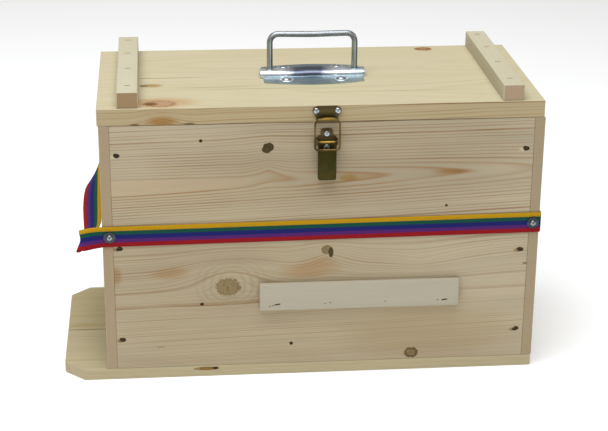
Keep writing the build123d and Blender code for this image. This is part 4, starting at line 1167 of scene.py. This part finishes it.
def lever():
    """The lever: a channel with rounded front corners, its flanges narrowing up to the pivot."""
    face = FRONT - 9.9
    low = PIVOT_Z - 36.4
    high = EYE_Z - 1.2
    primitive("plane", "latch_lever_channel", size=1.0, location=(LATCH_X, face, (low + high) / 2),
              rotation=(90, 0, 0))
    scale(14.6, 1.0, high - low, (LATCH_X, face, (low + high) / 2))
    for side in (-1, 1):
        pick(lambda x, y, z: side * (x - LATCH_X) > 7.2, "EDGE")
        for out, back in ((0.38, 0.08), (0.33, 0.21), (0.21, 0.33), (0.08, 0.38), (0.0, 3.6), (0.0, 1.5)):
            push(side * out, back, 0)
    pick(lambda x, y, z: y > face + 6.0 and z < low + 0.1)
    shift(0, 0, 4.0)
    pick(lambda x, y, z: abs(abs(x - LATCH_X) - 8.3) < 0.01 and z > high - 0.01 and y > face + 0.9, "EDGE")
    for rise, slim, out in ((2.8, 1.0, 6.5), (2.8, 0.94, 6.2), (2.2, 0.9, 5.8), (1.6, 0.86, 5.2),
                            (0.8, 0.7, 5.2), (0.3, 0.5, 5.2)):
        push(0, 0, rise)
        scale(1.0, slim, 1.0, (0, FRONT - out, 0))
    pick(lambda x, y, z: z < low + 0.01 and y < face + 0.1, "EDGE")
    for back, drop in ((0.15, -0.35), (0.35, -0.2), (1.6, -0.05)):
        push(0, back, drop)
    pick(lambda x, y, z: z > high - 0.01 and abs(x - LATCH_X) < 7.0, "EDGE")
    push(0, 0.25, 0.35)
    push(0, 0.8, 0.2)
    sheet_metal(1.0, 0.25)
    finished("latch_lever", lever_olive)


def wire_loop():
    """The wire loop, a rounded rectangle with cut shoulders, standing up over the lip."""
    top = 272.9
    half = 12.0
    corners = ((0, EYE_Z, 0), (half, EYE_Z, 3.0), (half, top - 3.6, 2.2), (half - 2.88, top, 2.2),
               (0, top, 0))
    bent_wire("latch_wire_loop", 1.0, corners, EYE_Y, 14)
    both_sides()
    for low, step in ((246.0, 0.15), (256.0, 0.2), (266.0, 0.2), (271.0, 0.1)):
        pick(lambda x, y, z: z > low)
        shift(0, step, 0)
    pick_all()
    shift(LATCH_X, 0, 0)
    finished("latch_loop", loop_gold)


# Butt hinges on the back
HINGE_AXIS = (BACK + 2.55, WALL_TOP)


def hinge_leaf(node, middle, way):
    """A leaf of rolled sheet, up (1) or down (-1) from the pin. The lower one has the outer knuckles."""
    neck = 2.8
    root = WALL_TOP + way * neck
    tip = WALL_TOP + way * 14.5
    start = (middle - 24.95, BACK + 0.6, (root + tip) / 2)
    primitive("plane", node + "_rolled", size=1.0, location=start, rotation=(-90, 0, 0))
    scale(0.1, 1.0, 11.7, start)
    pick(lambda px, py, pz: px > middle - 24.92, "EDGE")
    third = 25.0 / 3
    steps = (-24.9, -24.6, -24.0, -23.0, -third - 0.15, -third + 0.15, third - 0.15, third + 0.15,
             23.0, 24.0, 24.6, 25.0)
    for before, here in zip(steps, steps[1:]):
        push(here - before, 0, 0)
    for here, taken in ((25.0, 2.0), (24.6, 1.1), (24.0, 0.45)):
        pick(lambda px, py, pz: abs(abs(px - middle) - here) < 0.15 and abs(pz - tip) < 0.1)
        shift(0, 0, -way * taken)
    pick(lambda px, py, pz: abs(pz - root) < 0.1 and way * (third - abs(px - middle)) > 0.1, "EDGE")
    push(0, 0, -way * neck)
    spin(way * 318, (middle, *HINGE_AXIS), (1, 0, 0), 22)
    sheet_metal(1.15, 0.2)
    finished(node, zinc)


def hinges():
    reach = 140.0
    for name, middle in (("left", -reach), ("right", reach)):
        hinge_leaf(name + "_hinge_lid_leaf", middle, 1)
        hinge_leaf(name + "_hinge_case_leaf", middle, -1)
        riveted_pin(name + "_pin", (middle, *HINGE_AXIS), 25.2, ((0.0, 1.45), (0.3, 1.0), (0.25, 0.75)))
        finished(name + "_hinge_pin", zinc)
    for node, level in (("hinge_lid_screws", WALL_TOP + 8.6), ("hinge_case_screws", WALL_TOP - 8.6)):
        places = [at_place(middle + side * 16.0, BACK + 1.25, level, "back")
                  for middle in (-reach, reach) for side in (-1, 1)]
        screw = countersunk_screw(2.5, 1.3, 14.0)
        fit(screw, node.replace("screws", "countersunk_screws"), places, node, zinc)


strap_hardware()
panel_nails()
all_staples()
slat()
board_screws()
handle_plate()
handle_bail()
handle_screws()
catch_plate()
base_plate()
pivot_pin()
lever()
wire_loop()
hinges()


# Camera at the photograph's place
eye = Vector((-160.15, -1583.37, 750.66)) * MM
yaw, pitch, roll = (math.radians(angle) for angle in (5.438, 21.253, 0.453))
ahead = Vector((math.sin(yaw) * math.cos(pitch), math.cos(yaw) * math.cos(pitch), -math.sin(pitch)))
level = Vector((math.cos(yaw), -math.sin(yaw), 0))
above = level.cross(ahead)
right = math.cos(roll) * level + math.sin(roll) * above
up = math.cos(roll) * above - math.sin(roll) * level
camera_data = bpy.data.cameras.new("camera")
camera_data.sensor_fit = "HORIZONTAL"
camera_data.sensor_width = 36.0
# the photograph is 608 pixels wide and its focal length is 1622.3 of them
camera_data.lens = camera_data.sensor_width * 1622.3 / 608.0
camera_data.clip_end = 50.0
camera = bpy.data.objects.new("camera", camera_data)
turn = Matrix((right, up, -ahead)).transposed()
camera.matrix_world = Matrix.Translation(eye) @ turn.to_4x4()
bpy.context.scene.collection.objects.link(camera)
bpy.context.scene.camera = camera


# Pale floor and soft light from above
def studio():
    bpy.ops.mesh.primitive_plane_add(size=14.0, location=(0, 3.0, 0))
    floor = bpy.context.object
    floor.name = "studio_floor"
    bpy.ops.object.transform_apply(location=True, rotation=True, scale=True)
    material, add = new_material("pale_floor")
    shader = add("BsdfPrincipled", {
        "Base Color": colour("fbfbfa"), "Roughness": 0.9, "Emission Color": colour("ffffff"),
        "Emission Strength": 0.14})
    add("OutputMaterial", shader, out=None)
    floor.data.materials.append(material)
    for name, size, power, place, aim in (
        ("roof_light", 2.3, 78.0, (-0.3, -0.55, 2.4), (0, 0, 0.15)),
        ("front_light", 2.2, 1.0, (-0.5, -3.0, 1.3), (0, 0, 0.15)),
    ):
        data = bpy.data.lights.new(name, "AREA")
        data.shape = "SQUARE"
        data.size = size
        data.energy = power
        data.color = (0.97, 1.0, 1.04)
        lamp = bpy.data.objects.new(name, data)
        lamp.location = place
        lamp.rotation_euler = (Vector(aim) - Vector(place)).to_track_quat("-Z", "Y").to_euler()
        bpy.context.scene.collection.objects.link(lamp)
    world = bpy.data.worlds.new("studio_air")
    world.use_nodes = True
    air = world.node_tree.nodes["Background"]
    air.inputs["Color"].default_value = colour("fffaf2")
    air.inputs["Strength"].default_value = 0.27
    bpy.context.scene.world = world
    bpy.context.scene.view_settings.view_transform = "Standard"


studio()
